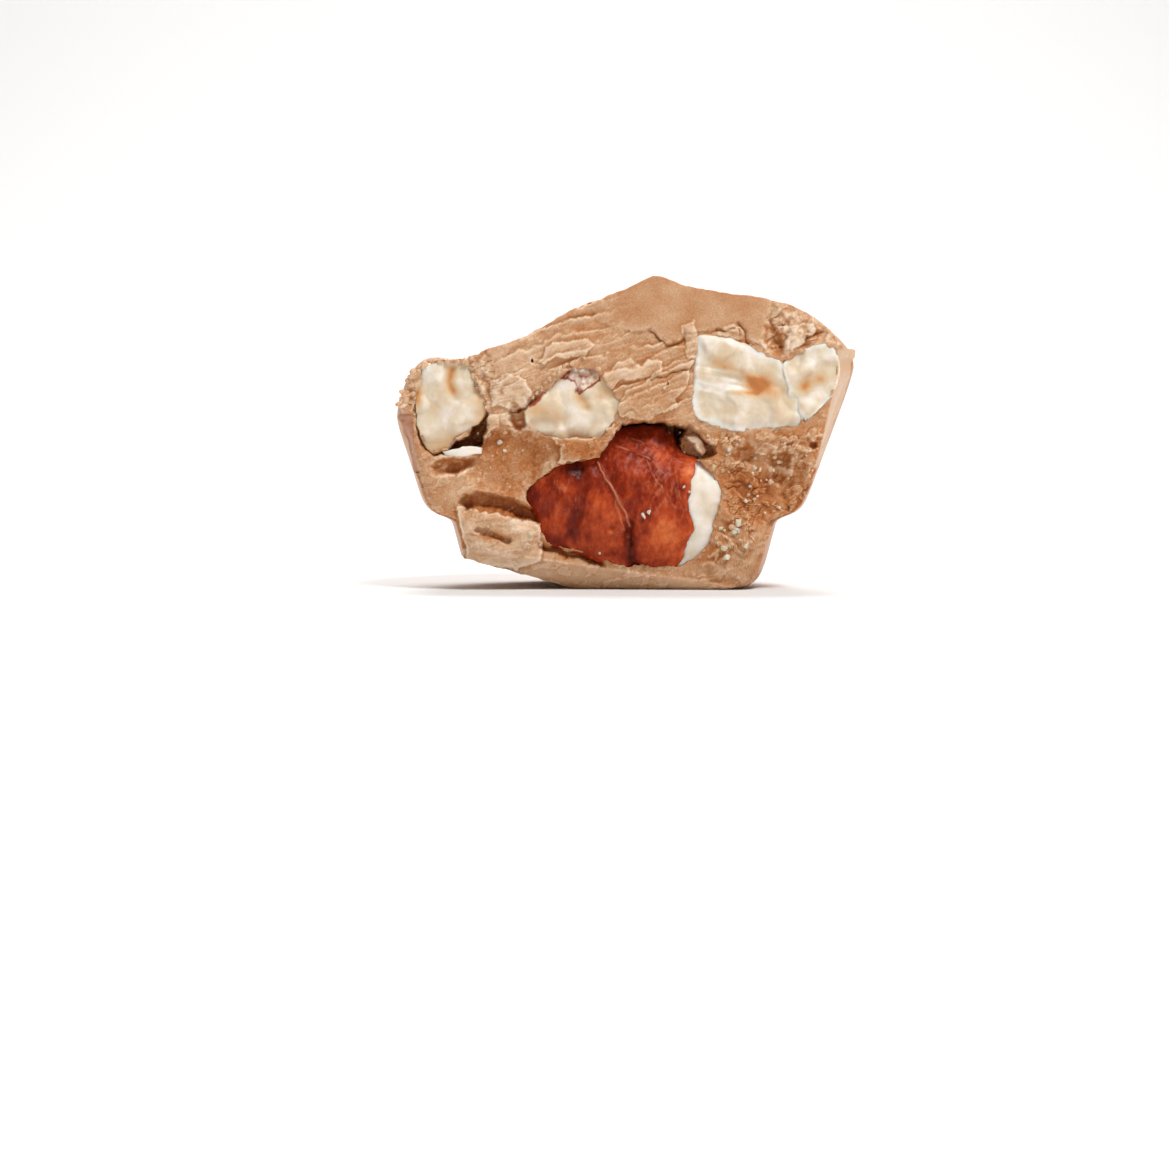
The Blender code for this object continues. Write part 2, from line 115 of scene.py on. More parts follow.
# Cracks: (points, half width, depth).
CRACKS = [
    ([(1.9, 17.0), (3.4, 17.5), (5.2, 18.1)], 0.08, 0.25),
    ([(1.9, 21.1), (2.3, 20.45), (2.9, 20.2), (3.2, 19.75), (3.8, 19.95), (4.3, 20.1), (4.8, 20.9)],
     0.11, 0.28),
    ([(7.1, 21.15), (7.9, 21.0), (8.9, 21.3), (9.1, 20.8)], 0.1, 0.28),
    ([(8.9, 21.7), (9.5, 20.9), (9.7, 19.9)], 0.12, 0.3),
    ([(11.4, 22.1), (11.8, 21.6), (12.4, 21.5)], 0.16, 0.35),
    ([(11.9, 20.9), (12.1, 20.3), (12.5, 19.8)], 0.34, 0.28),
    ([(14.5, 20.3), (15.0, 20.7), (15.7, 20.9)], 0.16, 0.35),
    ([(-2.1, 16.9), (-1.9, 16.2), (-1.2, 15.6)], 0.15, 0.5),
    ([(-17.1, 15.0), (-17.0, 13.8), (-16.8, 12.5), (-16.3, 11.6), (-15.6, 11.1), (-14.4, 11.2)], 0.11, 0.9),
    ([(-12.4, 17.0), (-11.8, 15.9), (-11.4, 15.0)], 0.07, 0.25),
    ([(-8.7, 14.4), (-8.1, 14.9), (-7.4, 15.4)], 0.12, 0.5),
    ([(-6.9, 3.5), (-5.4, 3.05), (-3.8, 2.75), (-2.0, 2.1)], 0.26, 1.0),
    ([(-12.1, 4.85), (-11.0, 4.45), (-9.6, 4.0)], 0.31, 0.5),
    ([(-13.0, 7.1), (-12.1, 7.3), (-11.1, 7.2), (-9.1, 6.6), (-7.4, 5.9)], 0.66, 1.2),
    ([(-17.3, 14.6), (-16.2, 14.2), (-15.9, 13.6)], 0.14, 0.35),
]
# A crack whose half width is above this many millimetres has a flat bottom.
WIDE_CRACK = 0.3
# Air left in the pour: (outline, depth behind the face).
AIR_GAPS = [
    ([(-12.8, 13.7), (-11.9, 14.1), (-11.5, 14.9), (-11.3, 13.4), (-12.0, 11.5), (-14.5, 11.3),
      (-14.0, 12.0), (-12.9, 12.5)], 3.4),
    ([(-1.3, 12.0), (-0.9, 12.9), (-0.4, 13.45), (1.1, 13.65), (2.7, 13.65), (3.7, 13.4),
      (4.9, 13.0), (4.4, 12.0), (4.2, 10.6), (1.0, 11.5)], 4.6),
    ([(3.9, 13.2), (5.0, 13.3), (5.7, 12.7), (6.4, 12.0), (7.2, 11.7), (7.4, 11.0), (6.2, 10.6),
      (5.4, 10.3), (4.2, 10.4), (3.8, 11.6)], 2.0),
    ([(12.6, 18.7), (13.0, 18.7), (13.8, 16.7), (13.9, 15.6), (14.7, 14.2), (14.5, 13.6), (14.1, 13.9),
      (13.4, 15.6), (13.3, 16.6), (12.5, 18.0)], 0.8),
]
# A chip of chocolate left standing in the gap beside the whole nut.
GAP_CHIP = [(4.7, 12.7), (5.5, 12.65), (6.1, 12.1), (6.6, 11.3), (6.2, 10.9), (5.7, 11.4), (5.1, 12.0)]
# The depth of the chip's face, in mm.
GAP_CHIP_LEVEL = 0.9
# Where the break is cut smooth, crumbly, ground down or gritty.
KNIFE_CUT = [(-3.0, 23.0), (0.0, 27.0), (11.9, 26.0), (11.4, 19.5), (9.2, 20.7), (7.1, 21.2),
             (4.6, 20.6), (3.1, 19.9), (1.9, 21.1), (0.0, 21.0), (-2.2, 21.6)]
CRUMBLY_PATCH = [(11.2, 19.6), (11.6, 23.9), (14.0, 24.0), (18.5, 21.0), (18.3, 19.4), (16.8, 19.9),
                 (14.0, 19.6), (12.6, 18.9)]
LEFT_CRUMBLE = [(-19.5, 13.9), (-17.2, 14.6), (-16.9, 16.8), (-16.0, 18.4), (-13.0, 18.7),
                (-11.8, 16.0), (-10.6, 15.0), (-10.8, 19.0), (-13.0, 20.6), (-19.5, 19.5)]
GROUND_HOLLOW = [(-12.4, 13.6), (-10.0, 14.3), (-8.3, 13.2), (-5.6, 12.0), (-5.6, 10.6), (-8.8, 9.3),
                 (-8.6, 6.6), (-11.0, 7.9), (-14.6, 9.2), (-15.2, 10.6), (-12.4, 10.8)]
GRITTY_RIGHT = [(5.4, 13.2), (8.0, 12.7), (14.4, 13.2), (16.6, 14.0), (16.2, 11.0), (15.0, 6.6),
                (11.6, 6.0), (9.8, 3.0), (7.4, 1.9), (5.2, 2.4), (7.6, 5.0), (7.6, 8.4), (6.0, 10.6)]
# How ragged the borders between kinds of ground are, in mm.
BORDER_RAGGED = 0.22
# The worn band beside the break: heights, and its width there.
RIGHT_BAND = ([9.0, 11.0, 12.5, 14.5, 18.5], [0.0, 0.05, 0.3, 0.6, 0.95])
LEFT_BAND = ([9.3, 11.4, 13.8, 14.3, 14.8], [0.0, 0.2, 0.85, 0.8, 0.0])

NUT_OUTLINES = {
    "left": [(-16.5, 17.7), (-16.0, 18.3), (-14.4, 18.5), (-12.9, 18.4), (-12.6, 17.1), (-11.9, 16.1),
             (-11.5, 15.0), (-11.7, 14.2), (-12.1, 13.6), (-12.7, 13.4), (-12.9, 12.8), (-14.0, 12.2),
             (-14.5, 11.5), (-15.2, 11.3), (-15.8, 11.2), (-16.4, 11.8), (-16.7, 12.6),
             (-16.9, 13.8), (-17.0, 15.4), (-16.7, 16.6)],
    "middle": [(-8.2, 14.5), (-7.2, 15.3), (-6.5, 16.3), (-5.8, 17.0), (-5.0, 17.7), (-4.3, 18.1),
               (-3.4, 18.1), (-2.4, 17.7), (-1.8, 17.2), (-1.2, 16.2), (-0.6, 15.4), (-0.6, 14.8),
               (-1.2, 14.0), (-1.5, 13.2), (-2.0, 12.4), (-3.0, 12.2), (-4.2, 12.3), (-5.4, 12.2),
               (-6.7, 12.5), (-7.5, 13.0), (-8.1, 13.6)],
    "right": [(5.8, 20.5), (7.6, 20.5), (8.8, 20.1), (10.0, 19.6), (11.2, 18.9), (12.4, 18.5),
              (12.6, 17.9), (13.2, 17.2), (13.5, 16.6), (13.4, 15.8), (13.8, 15.3), (14.2, 14.6),
              (14.0, 13.2), (12.4, 13.2), (10.8, 13.0), (9.2, 12.9), (7.6, 13.2), (6.6, 13.6),
              (5.9, 13.8), (5.5, 14.6), (5.3, 15.4), (5.4, 16.6), (5.6, 17.9), (5.7, 19.5)],
    "right_rear": [(13.0, 18.5), (13.8, 19.2), (14.9, 19.6), (16.0, 19.8), (16.6, 19.6), (17.0, 18.8),
                   (17.1, 17.9), (16.8, 16.6), (16.3, 15.6), (15.7, 15.0), (15.0, 14.2), (14.5, 13.8),
                   (13.9, 14.8), (13.6, 15.5), (13.2, 15.9), (13.2, 16.7), (12.9, 17.3),
                   (12.5, 18.1)],
    "skinned": [(-8.4, 7.3), (-8.3, 8.1), (-7.5, 8.8), (-6.8, 9.3), (-6.3, 9.7), (-5.4, 10.2),
                (-4.6, 10.4), (-3.4, 10.6), (-2.4, 10.8), (-1.6, 12.0), (-0.6, 12.8), (1.2, 13.1),
                (2.9, 12.9), (3.7, 12.2), (4.0, 11.2), (4.9, 10.7), (6.0, 10.6), (7.1, 9.2),
                (7.7, 8.2), (7.7, 7.3), (7.4, 6.3), (7.1, 5.3), (6.9, 4.1), (6.3, 3.2), (5.6, 2.5),
                (4.2, 1.8), (1.9, 1.9), (-0.6, 1.9), (-2.2, 2.5), (-3.8, 3.1), (-5.2, 3.4),
                (-6.6, 3.8), (-7.2, 4.8), (-6.9, 5.5), (-7.6, 6.5)],
    "shard": [(-14.9, 11.25), (-13.4, 11.5), (-12.3, 11.6), (-11.85, 11.5), (-11.9, 11.05),
              (-13.4, 10.98), (-14.7, 10.95)],
}
# Level of the widest section behind the front plane and how deep the nut reaches from there.
NUT_DEPTHS = {
    "left": (1.3, 4.0), "middle": (1.1, 4.2), "right": (0.95, 4.8), "right_rear": (1.1, 3.3),
    "skinned": (2.9, 5.2), "shard": (0.95, 1.0),
}
NUT_FRONTS = {"left": 0.3, "middle": 0.2, "right": 0.15, "right_rear": 0.3, "shard": 0.25}
NUT_MIDDLES = {"left": (-14.3, 14.9), "middle": (-4.2, 14.5), "right": (9.6, 16.2),
               "right_rear": (15.4, 17.3), "skinned": (0.0, 7.2), "shard": (-13.3, 11.3)}
# How ragged each rim is, and how far the chocolate laps over it, in mm.
NUT_RAGGED = {"left": 0.14, "middle": 0.16, "right": 0.14, "right_rear": 0.14, "skinned": 0.12,
              "shard": 0.16}
NUT_HOLDS = {"left": 0.3, "middle": 0.3, "right": 0.3, "right_rear": 0.3, "skinned": 0.45, "shard": 0.16}


# The stage, in metres: the floor's sweep, the lamps' places and sizes, and where the camera looks.
FLOOR_FRONT, FLOOR_BACK, FLOOR_HALF = -1.4, 0.3, 1.3
SWEEP_START, SWEEP_RADIUS, WALL_TOP = 0.33, 0.25, 1.2
KEY_PLACE, KEY_SIZE = (0.12, -0.18, 0.36), 0.15
BACKDROP_PLACE, BACKDROP_SIZE = (0.0, 0.3, 0.5), 0.3
LAMPS_AIM = (0.0, 0.0, 0.012)
SKY_TINT = (1.0, 0.94, 0.87, 1.0)
CAMERA_TARGET, CAMERA_DISTANCE = (-0.00335, -0.0106, 0.00045), 0.2637

# Small helpers


def ease(value, start, end):
    """0 before start, 1 after end, and a smooth S between them."""
    share = np.clip((value - start) / (end - start), 0.0, 1.0)
    return share * share * (3.0 - 2.0 * share)


def scatter(i, j, k, seed):
    """A repeatable value from 0 to 1 for each whole-number place: its digits are multiplied and mixed."""
    h = (i * 374761393 + j * 668265263 + k * 1103515245 + seed * 974711) & 0xFFFFFFFF
    h = ((h ^ (h >> 15)) * 2246822519) & 0xFFFFFFFF
    h = ((h ^ (h >> 13)) * 3266489917) & 0xFFFFFFFF
    return ((h ^ (h >> 16)) & 0xFFFFFF) / 16777216.0


def mottle(x, y, z, size, seed=0, octaves=3):
    """Cloudy variation, about -1 to 1: slopes at lattice places blended smoothly, over halving sizes."""
    total, weight = np.zeros(np.shape(x)), 1.0
    for octave in range(octaves):
        scale = 2.0**octave / size
        place = [np.asarray(c, float) * scale + 31.7 * octave for c in (x, y, z)]
        cell = [np.floor(c).astype(np.int64) for c in place]
        part = [c - f for c, f in zip(place, cell)]
        soft = [p * p * p * (p * (p * 6.0 - 15.0) + 10.0) for p in part]
        for corner in np.ndindex(2, 2, 2):
            at = [c + d for c, d in zip(cell, corner)]
            share = 1.0
            slope = 0.0
            for axis, step in enumerate(corner):
                share = share * (soft[axis] if step else 1.0 - soft[axis])
                lean = scatter(at[0], at[1], at[2], seed + 7 * octave + 101 * axis) * 2.0 - 1.0
                slope = slope + lean * (part[axis] - step)
            total = total + weight * 1.5 * share * slope
        weight *= 0.5
    return total


def cloudy(x, z, size, seed, octaves=3):
    """Cloudy variation over the plane of the break."""
    return mottle(x, 0.0 * x, z, size, seed, octaves)


def turned(x, z, turn, at_x=0.0, at_z=0.0):
    """How far a place is along and across a line through (at_x, at_z), turned by so many degrees."""
    c, s = math.cos(math.radians(turn)), math.sin(math.radians(turn))
    return (x - at_x) * c + (z - at_z) * s, (z - at_z) * c - (x - at_x) * s


def spot(x, z, at_x, at_z, wide, high):
    """A bell curve: 1 at (at_x, at_z), and 1/e at so wide or so high from it."""
    return np.exp(-(((x - at_x) / wide) ** 2) - ((z - at_z) / high) ** 2)


def near_line(x, z, line, half):
    """A bell curve: 1 on the line, and 1/e at half beside it."""
    return np.exp(-((from_line(x, z, line) / half) ** 2))


def grain(x, z, length, height, turn, seed, octaves=2):
    """Cloudy variation drawn out to length along a line turned by so many degrees."""
    along, across = turned(x, z, turn)
    return mottle(along / length, seed * 0.37, across / height, 1.0, seed, octaves)


def plates(x, z, length, height, turn, seed):
    """Torn plates: each place belongs to the nearest of scattered seeds, in cells of length by height.

    Gives each plate's own value from 0 to 1, the distance to its border, and its lean from the seed.
    """
    along, across = turned(x, z, turn)
    a, b = along / length, across / height
    cell_a, cell_b = np.floor(a).astype(np.int64), np.floor(b).astype(np.int64)
    best = np.full(np.shape(x), 9.0)
    second, value, lean = best.copy(), best * 0.0, best * 0.0
    for step in np.ndindex(5, 3):
        i, j = cell_a + step[0] - 2, cell_b + step[1] - 1
        seed_a = i + 0.5 + 0.9 * (scatter(i, j, i * 0, seed) - 0.5)
        seed_b = j + 0.5 + 0.9 * (scatter(i, j, i * 0 + 1, seed) - 0.5)
        reach = np.hypot(a - seed_a, b - seed_b)
        nearer = reach < best
        second = np.where(nearer, best, np.minimum(second, reach))
        value = np.where(nearer, scatter(i, j, i * 0 + 2, seed), value)
        lean = np.where(nearer, b - seed_b, lean)
        best = np.minimum(best, reach)
    return value, second - best, lean


def sheets(x, z, length, height, turn, seed, over, octaves=3):
    """Torn sheets: 1 where drawn-out cloudy variation rises over a level, with a crisp ragged edge."""
    return ease(grain(x, z, length, height, turn, seed, octaves), over - 0.03, over + 0.04)


def terraces(x, z, spacing, turn, seed):
    """Layers torn one over another: 0 at each one's proud upper edge, sinking to 1 at its foot.

    The distance across the layers is bent by cloudy variation and cut into steps of spacing.
    """
    across = turned(x, z, turn)[1]
    climb = across / spacing + 0.9 * grain(x, z, 6.0 * spacing, 2.4 * spacing, turn, seed, 3)
    climb = climb + 0.22 * cloudy(x, z, 0.9 * spacing, seed + 1)
    step = climb - np.floor(climb)
    return np.where(step < 0.9, 1.0 - step / 0.9, (step - 0.9) / 0.1)


def inside_of(x, z, outline):
    """Distance in mm from a closed outline, positive inside it.

    A place is inside if a level line from it crosses the outline an odd number of times.
    """
    closed = outline + outline[:1]
    inside = np.zeros(np.shape(x), bool)
    for (ax, az), (bx, bz) in zip(outline, closed[1:]):
        if az != bz:
            inside ^= ((az > z) != (bz > z)) & (x < ax + (z - az) / (bz - az) * (bx - ax))
    return np.where(inside, 1.0, -1.0) * from_line(x, z, closed)


def from_line(x, z, points):
    """Distance in mm from an open line through the points."""
    nearest = np.full(np.shape(x), 1e6)
    for (ax, az), (bx, bz) in zip(points[:-1], points[1:]):
        run, rise = bx - ax, bz - az
        share = np.clip(((x - ax) * run + (z - az) * rise) / (run**2 + rise**2), 0.0, 1.0)
        nearest = np.minimum(nearest, (x - ax - share * run) ** 2 + (z - az - share * rise) ** 2)
    return np.sqrt(nearest)


def outline_reach(outline, middle, angles):
    """Distance from middle to an outline in each direction, its corners rounded over a degree."""
    directions = 1440
    points = np.array(outline) - np.array(middle)
    turn = np.arctan2(points[:, 1], points[:, 0])
    order = np.argsort(turn)
    fine = np.linspace(-math.pi, math.pi, directions, endpoint=False)
    # Each direction crosses the straight edge between the two points that it lies between.
    index = np.searchsorted(turn[order], fine, side="right") - 1
    p, q = points[order][index], np.roll(points[order], -1, axis=0)[index]
    across = (q[:, 0] - p[:, 0]) * np.sin(fine) - (q[:, 1] - p[:, 1]) * np.cos(fine)
    reach = (q[:, 0] * p[:, 1] - q[:, 1] * p[:, 0]) / np.where(np.abs(across) < 1e-9, 1e-9, -across)
    waves = np.fft.fftfreq(directions, 1.0 / directions)
    reach = np.fft.ifft(np.fft.fft(np.abs(reach)) * np.exp(-0.5 * (waves * math.radians(1.0)) ** 2)).real
    return np.interp(angles, np.append(fine, math.pi), np.append(reach, reach[0]))


def blur(field, cells):
    """Average over a square of cells either side, by running sums along both directions."""
    for axis in (0, 1):
        padded = np.concatenate([np.repeat(field.take([0], axis), cells + 1, axis), field,
                                 np.repeat(field.take([-1], axis), cells, axis)], axis)
        sums = np.cumsum(padded, axis)
        count = field.shape[axis]
        high = sums.take(range(2 * cells + 1, 2 * cells + 1 + count), axis)
        field = (high - sums.take(range(count), axis)) / (2 * cells + 1)
    return field


def put_mesh(name, points, quads, triangles, values, body="root"):
    """A closed mesh from points in mm, with a value of each name at each point, riding on the body."""
    mesh = bpy.data.meshes.new(name)
    corners = np.concatenate([np.asarray(quads).ravel(), np.asarray(triangles).ravel()]).astype(np.int32)
    sizes = np.concatenate([np.full(len(quads), 4), np.full(len(triangles), 3)])
    starts = (np.cumsum(sizes) - sizes).astype(np.int32)
    mesh.vertices.add(len(points))
    mesh.vertices.foreach_set("co", ((points + ROW_SHIFT) * MM).astype(np.float32).ravel())
    mesh.loops.add(len(corners))
    mesh.loops.foreach_set("vertex_index", corners)
    mesh.polygons.add(len(sizes))
    mesh.polygons.foreach_set("loop_start", starts)
    mesh.update(calc_edges=True)
    for key, value in values.items():
        held = mesh.attributes.new(key, "FLOAT", "POINT")
        held.data.foreach_set("value", np.asarray(value, np.float32).ravel())
    mesh.shade_smooth()
    mesh.set_sharp_from_angle(angle=math.radians(55))
    made = bpy.data.objects.new(name, mesh)
    bpy.context.scene.collection.objects.link(made)
    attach(made, body)
    return made


def border_of(columns, rows):
    """The places round the edge of a grid of points, anticlockwise from its first corner."""
    grid = np.arange(columns * rows).reshape(columns, rows)
    return np.concatenate([grid[:-1, 0], grid[-1, :-1], grid[:0:-1, -1], grid[0, :0:-1]])


def grid_quads(columns, rows):
    """Quads of a grid of points whose first direction is x and second z, facing the front."""
    grid = np.arange(columns * rows).reshape(columns, rows)
    return np.stack([grid[:-1, :-1], grid[1:, :-1], grid[1:, 1:], grid[:-1, 1:]], -1).reshape(-1, 4)


def ring_quads(front, back):
    """Quads between two rings of points, facing outwards where back lies behind front."""
    return np.stack([front, back, np.roll(back, -1), np.roll(front, -1)], -1)


def rim_reach(name, angle):
    """Distance from a nut's middle to its rim: the outline's, made ragged by cloudy variation."""
    reach = outline_reach(NUT_OUTLINES[name], NUT_MIDDLES[name], angle)
    rim_x, rim_z = reach * np.cos(angle), reach * np.sin(angle)
    return reach + 0.75 * NUT_HOLDS[name] + NUT_RAGGED[name] * cloudy(rim_x, rim_z, 0.9, 30 + len(name))


def lidded_solid(name, cells, front, depth=None, rings=14):
    """A closed solid behind a nut's rim.

    The front sheet is a square grid whose rings are blown out to the rim, at the depth that
    front(x, z, share) gives; the back is the rim shrunk by a quarter circle to a pole.
    """
    middle, (level, full) = NUT_MIDDLES[name], NUT_DEPTHS[name]
    depth = full if depth is None else depth
    u, v = np.meshgrid(np.linspace(-1, 1, cells), np.linspace(-1, 1, cells), indexing="ij")
    share, angle = np.maximum(np.abs(u), np.abs(v)).ravel(), np.arctan2(v, u).ravel()
    reach = rim_reach(name, angle)
    x = middle[0] + share * reach * np.cos(angle)
    z = middle[1] + share * reach * np.sin(angle)
    points = [np.column_stack([x, front(x, z, share), z])]
    border = border_of(cells, cells)
    quads = [grid_quads(cells, cells)]
    ring, count = border, cells * cells
    for k in range(1, rings):
        turn = 0.5 * math.pi * k / rings
        back = np.arange(len(border)) + count
        shrink = math.cos(turn) ** 0.8
        bx = middle[0] + shrink * (x[border] - middle[0])
        bz = middle[1] + shrink * (z[border] - middle[1])
        points.append(np.column_stack([bx, np.full(len(bx), level + depth * math.sin(turn)), bz]))
        quads.append(ring_quads(ring, back))
        ring, count = back, count + len(border)
    points.append([[middle[0], level + depth, middle[1]]])
    fan = np.stack([ring, np.full(len(ring), count), np.roll(ring, -1)], -1)
    return np.vstack(points), np.vstack(quads), fan


# Materials


def linear(sheet_colour):
    """An sRGB hex colour as linear RGBA: each channel is the sRGB curve undone."""
    values = [int(sheet_colour[k : k + 2], 16) / 255.0 for k in (1, 3, 5)]
    undone = [v / 12.92 if v <= 0.04045 else ((v + 0.055) / 1.055) ** 2.4 for v in values]
    return (*undone, 1.0)


def add(tree, kind, inputs=None, stops=None, **settings):
    """Adds a node with its settings; each input is a value, or an output to link, and stops fill a ramp."""
    made = tree.nodes.new(kind)
    for key, value in settings.items():
        setattr(made, key, value)
    for key, value in (inputs or {}).items():
        if isinstance(value, bpy.types.NodeSocket):
            tree.links.new(value, made.inputs[key])
        else:
            made.inputs[key].default_value = value
    if stops:
        ramp = made.color_ramp
        while len(ramp.elements) < len(stops):
            ramp.elements.new(0.5)
        for element, (place, shade) in zip(ramp.elements, stops):
            element.position = place
            element.color = linear(shade) if isinstance(shade, str) else (shade, shade, shade, 1.0)
    return made


def new_material(name):
    """An empty material and its tree, with a Principled shader wired to the output."""
    made = bpy.data.materials.new(name)
    made.use_nodes = True
    tree = made.node_tree
    tree.nodes.clear()
    shader = add(tree, "ShaderNodeBsdfPrincipled")
    add(tree, "ShaderNodeOutputMaterial", {"Surface": shader.outputs["BSDF"]})
    return made, tree, shader


def milk_chocolate(settings):
    """Milk chocolate: snapped, it is dull and granular, with paler torn edges that are painted highlights
    and darker hollows that are painted shade, both carried by its tone; moulded, it is satin.
    """
    made, tree, shader = new_material("milk_chocolate_snapped_and_moulded")
    where = add(tree, "ShaderNodeTexCoord").outputs["Object"]
    tone = add(tree, "ShaderNodeAttribute", attribute_name="tone").outputs["Fac"]
    moulded = add(tree, "ShaderNodeAttribute", attribute_name="moulded").outputs["Fac"]
    dust = add(tree, "ShaderNodeAttribute", attribute_name="dust").outputs["Fac"]
    # Cocoa and milk grains about 0.15 mm across, and clouds of 1.5 mm.
    fine = add(tree, "ShaderNodeTexNoise", {"Vector": where, "Scale": 6500.0, "Detail": 3.0,
                                            "Roughness": 0.6}).outputs["Fac"]
    cloud = add(tree, "ShaderNodeTexNoise", {"Vector": where, "Scale": 620.0, "Detail": 4.0,
                                             "Roughness": 0.55}).outputs["Fac"]
    rough_part = add(tree, "ShaderNodeMath", {0: 1.0, 1: moulded}, operation="SUBTRACT").outputs[0]
    fine_shift = add(tree, "ShaderNodeMapRange", {"Value": fine, "From Min": 0.3, "From Max": 0.7,
                                                  "To Min": -0.08, "To Max": 0.08}).outputs[0]
    cloud_shift = add(tree, "ShaderNodeMapRange", {"Value": cloud, "From Min": 0.3, "From Max": 0.7,
                                                   "To Min": -0.08, "To Max": 0.08}).outputs[0]
    both = add(tree, "ShaderNodeMath", {0: fine_shift, 1: cloud_shift}, operation="ADD").outputs[0]
    uneven = add(tree, "ShaderNodeMapRange", {"Value": moulded, "To Min": 1.0, "To Max": 0.25}).outputs[0]
    shade = add(tree, "ShaderNodeMath", {0: both, 1: uneven, 2: tone}, operation="MULTIPLY_ADD").outputs[0]
    colour = add(tree, "ShaderNodeValToRGB", {"Fac": shade}, stops=[
        (0.0, "#7a3610"), (0.22, settings.deep), (0.42, "#b5733f"), (0.6, settings.middle),
        (0.8, settings.pale), (1.0, "#ead3bc")]).outputs["Color"]
    # Stray nut and sugar dust, 0.1 to 0.25 mm.
    specks = add(tree, "ShaderNodeTexVoronoi", {"Vector": where, "Scale": 1500.0}).outputs["Distance"]
    is_speck = add(tree, "ShaderNodeMapRange", {"Value": specks, "From Min": 0.12, "From Max": 0.2,
                                                "To Min": 1.0, "To Max": 0.0}).outputs[0]
    some = add(tree, "ShaderNodeTexNoise", {"Vector": where, "Scale": 900.0, "Detail": 1.0}).outputs["Fac"]
    chosen = add(tree, "ShaderNodeMapRange", {"Value": some, "From Min": 0.56, "From Max": 0.64}).outputs[0]
    speck = add(tree, "ShaderNodeMath", {0: is_speck, 1: chosen}, operation="MULTIPLY").outputs[0]
    speck = add(tree, "ShaderNodeMath", {0: speck, 1: dust}, operation="MULTIPLY").outputs[0]
    dusted = add(tree, "ShaderNodeMix", {"Factor": speck, "A": colour, "B": linear("#f2e2cf")},
                 data_type="RGBA").outputs[2]
    tree.links.new(dusted, shader.inputs["Base Color"])
    rough = add(tree, "ShaderNodeMapRange", {"Value": moulded, "To Min": 0.66, "To Max": 0.36}).outputs[0]
    tree.links.new(rough, shader.inputs["Roughness"])
    lift = add(tree, "ShaderNodeMath", {0: fine, 1: rough_part}, operation="MULTIPLY").outputs[0]
    coarse = add(tree, "ShaderNodeBump", {"Height": cloud, "Strength": 0.25, "Distance": 0.00015}).outputs[0]
    bump = add(tree, "ShaderNodeBump", {"Height": lift, "Strength": 0.25, "Distance": 0.00006,
                                        "Normal": coarse}).outputs[0]
    tree.links.new(bump, shader.inputs["Normal"])
    shader.inputs["Subsurface Weight"].default_value = 0.3
    shader.inputs["Subsurface Radius"].default_value = (1.0, 0.42, 0.2)
    shader.inputs["Subsurface Scale"].default_value = 0.0005
    shader.inputs["IOR"].default_value = 1.46
    shader.inputs["Specular IOR Level"].default_value = 0.32
    return made


def nut_kernel(settings):
    """Roasted nut kernel, snapped: cream and waxy, toasted tan in its core, brown where skin clung."""
    made, tree, shader = new_material("roasted_kernel_snapped")
    where = add(tree, "ShaderNodeTexCoord").outputs["Object"]
    toast = add(tree, "ShaderNodeAttribute", attribute_name="toast").outputs["Fac"]
    cling = add(tree, "ShaderNodeAttribute", attribute_name="cling").outputs["Fac"]
    cloud = add(tree, "ShaderNodeTexNoise", {"Vector": where, "Scale": 700.0, "Detail": 4.0,
                                             "Roughness": 0.6}).outputs["Fac"]
    fine = add(tree, "ShaderNodeTexNoise", {"Vector": where, "Scale": 5200.0, "Detail": 3.0}).outputs["Fac"]
    shift = add(tree, "ShaderNodeMapRange", {"Value": cloud, "From Min": 0.3, "From Max": 0.7,
                                             "To Min": -0.13, "To Max": 0.13}).outputs[0]
    shade = add(tree, "ShaderNodeMath", {0: toast, 1: shift}, operation="ADD").outputs[0]
    colour = add(tree, "ShaderNodeValToRGB", {"Fac": shade}, stops=[
        (0.0, "#f2eae0"), (0.3, settings.cream), (0.6, "#d9b489"), (0.85, settings.toasted),
        (1.0, "#c07a3e")]).outputs["Color"]
    clung = add(tree, "ShaderNodeMix", {"Factor": cling, "A": colour, "B": linear("#96421f")},
                data_type="RGBA").outputs[2]
    tree.links.new(clung, shader.inputs["Base Color"])
    shader.inputs["Roughness"].default_value = 0.5
    coarse = add(tree, "ShaderNodeBump", {"Height": cloud, "Strength": 0.3, "Distance": 0.0002}).outputs[0]
    bump = add(tree, "ShaderNodeBump", {"Height": fine, "Strength": 0.25, "Distance": 0.00005,
                                        "Normal": coarse}).outputs[0]
    tree.links.new(bump, shader.inputs["Normal"])
    shader.inputs["Subsurface Weight"].default_value = 0.7
    shader.inputs["Subsurface Radius"].default_value = (1.0, 0.62, 0.34)
    shader.inputs["Subsurface Scale"].default_value = 0.0008
    shader.inputs["IOR"].default_value = 1.45
    return made


